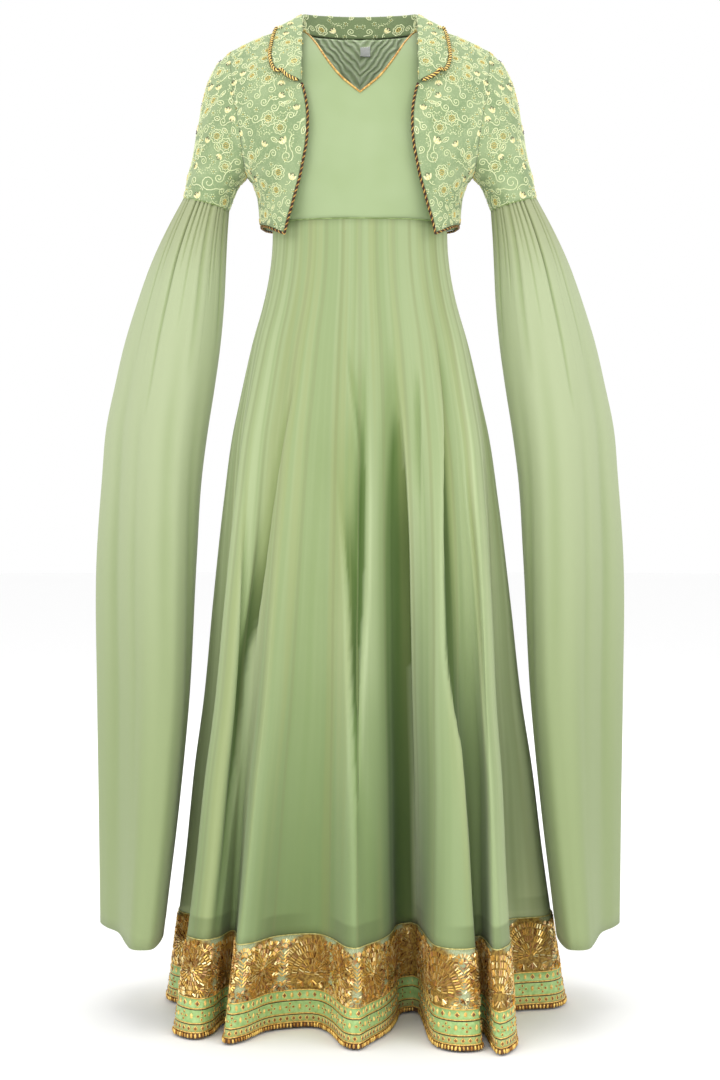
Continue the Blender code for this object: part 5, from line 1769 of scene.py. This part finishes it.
THREAD_RADIUS = 0.78 * MM
THREAD_LIFT = 0.25 * MM
sewn = np.random.default_rng(5)
cords, stitches = [], [[], [], [], []]
right_front = Ground(*front_grids["right"])
right_sleeve = Ground(upper_grid, closed_ring(np.array([ring_normals(ring) for ring in upper_rings])))
right_half = back_points.shape[1] // 2
right_back = Ground(back_points[:, right_half:], back_normals[:, right_half:])
right_half = slice(0, len(collar_points) // 2 + 1)
right_collar = Ground((collar_points + collar_out * COLLAR_CLOTH / 2)[right_half], collar_out[right_half])
for kind, x, z, turn, size in PLACED:
    ground = right_sleeve if x > SLEEVE_FROM_X and z < SLEEVE_BELOW else right_front
    place, outwards, _, _ = ground.tree.ray_cast(Vector((x * MM, -1, z * MM)), Vector((0, 1, 0)))
    if place is not None:
        outwards = np.array(outwards) * (-1 if outwards[1] > 0 else 1)
        ground.sew(kind, np.array(place), outwards, math.radians(turn), size)
for ground in (right_front, right_sleeve, right_back, right_collar):
    area = ground.areas.sum()
    for kind, tries in FILLERS:
        for pick in sewn.choice(len(ground.areas), round(tries * area), p=ground.areas / area):
            size, turn = sewn.uniform(0.8, 1.05), sewn.uniform(0, 2 * math.pi)
            if ground.free(ground.centres[pick], MOTIFS[kind][1] * size * MM):
                ground.sew(kind, ground.centres[pick], ground.outwards[pick], turn, size)

cream_cord = plain("cream cord", tone(224, 230, 184), tone(204, 216, 162), 0.55, 300.0, {"Sheen Weight": 0.2})
pale_satin = plain("pale satin stitch", tone(240, 236, 190), tone(226, 224, 168), 0.45, 260.0)
gold_bead = plain("gold bead", tone(250, 230, 150), tone(224, 196, 108), 0.35, 260.0, {"Metallic": 0.35})
dark_bead = plain("dark bead", tone(90, 70, 40), tone(56, 42, 24), 0.35, 260.0)
for side_name, mirror in SIDES:
    lines = [cord * np.array([mirror, 1, 1]) for cord in cords]
    fit(threads(f"cream_threads_{side_name}", lines, THREAD_RADIUS, [cream_cord]), "embroidered_cloth")
for shade, name, finish, height, lift, sides in (
    (CREAM, "cream_seeds", cream_cord, 1.2 * MM, 0.2 * MM, 4),
    (PALE, "satin_petals", pale_satin, 1.3 * MM, 0.2 * MM, 6),
    (GOLD, "gold_seeds", gold_bead, 1.5 * MM, 0.8 * MM, 5),
    (DARK, "dark_seeds", dark_bead, 1.3 * MM, 1.0 * MM, 5),
):
    rows = np.array(stitches[shade])
    points, normals, across = rows[:, 0:3], rows[:, 3:6], rows[:, 6:9]
    sizes = np.stack([rows[:, 10], rows[:, 11], np.full(len(rows), height)], axis=-1)
    places = frames(points + normals * lift, across, normals, rows[:, 9], sizes)
    both = np.concatenate([places, places * np.array([-1.0, 1.0, 1.0])[:, None]])
    shape = bmesh.new()
    bmesh.ops.create_cone(shape, cap_ends=True, segments=sides, radius1=0.5, radius2=0.28, depth=1)
    fit(copies(name, shape, both, finish), "embroidered_cloth")


# The label: a small blank square of woven satin with fine ribs. It is stitched along its top edge inside the
# jacket's back, just below the collar, and its lower corners curl a little.
LABEL_X, LABEL_TOP = 0.008, -0.0105
LABEL_WIDTH, LABEL_HEIGHT, LABEL_CLOTH = 14.5 * MM, 13.0 * MM, 1.0 * MM
LABEL_STANDOFF = 0.7 * MM
label_x = LABEL_X + LABEL_WIDTH * np.linspace(-0.5, 0.5, 13)
label_z = LABEL_TOP - LABEL_HEIGHT * np.linspace(0, 1, 11)
label_flat = np.stack(np.meshgrid(label_x, label_z), axis=-1)
label_points, label_out = on_jacket(label_flat, 1)
label_points = label_points - label_out * (JACKET_CLOTH + LABEL_STANDOFF + LABEL_CLOTH)
curl = 0.5 * MM * ((label_flat[..., 0] - LABEL_X) / LABEL_WIDTH * 2) ** 2
label_points[..., 1] -= curl * ease(LABEL_TOP - label_flat[..., 1], 0.0, LABEL_HEIGHT)
label_satin = Finish("label satin", {"Roughness": 0.45, "Sheen Weight": 0.1})
_, label_down = label_satin.uv()
label_rib = (label_down * 9000.0).maths("SINE", label_down * 9000.0)
satin_drift = label_satin.noise(300.0).ease(0.3, 0.7)
label_satin.paint("Base Color", satin_drift.mix(tone(244, 246, 244), tone(252, 253, 252)))
label_satin.bumpy(label_rib, 0.1 * MM, 0.5)
label = cloth("blank_label", label_points, label_satin, LABEL_CLOTH, label_flat)
fit(label, "label", "size_label")
stitch_line = [label_points[0, [i, i + 2]] - label_out[0, [i, i + 2]] * 0.2 * MM for i in range(0, 11, 3)]
label_stitches = threads("label_stitches", stitch_line, 0.3 * MM, [cream_cord])
fit(label_stitches, "label")
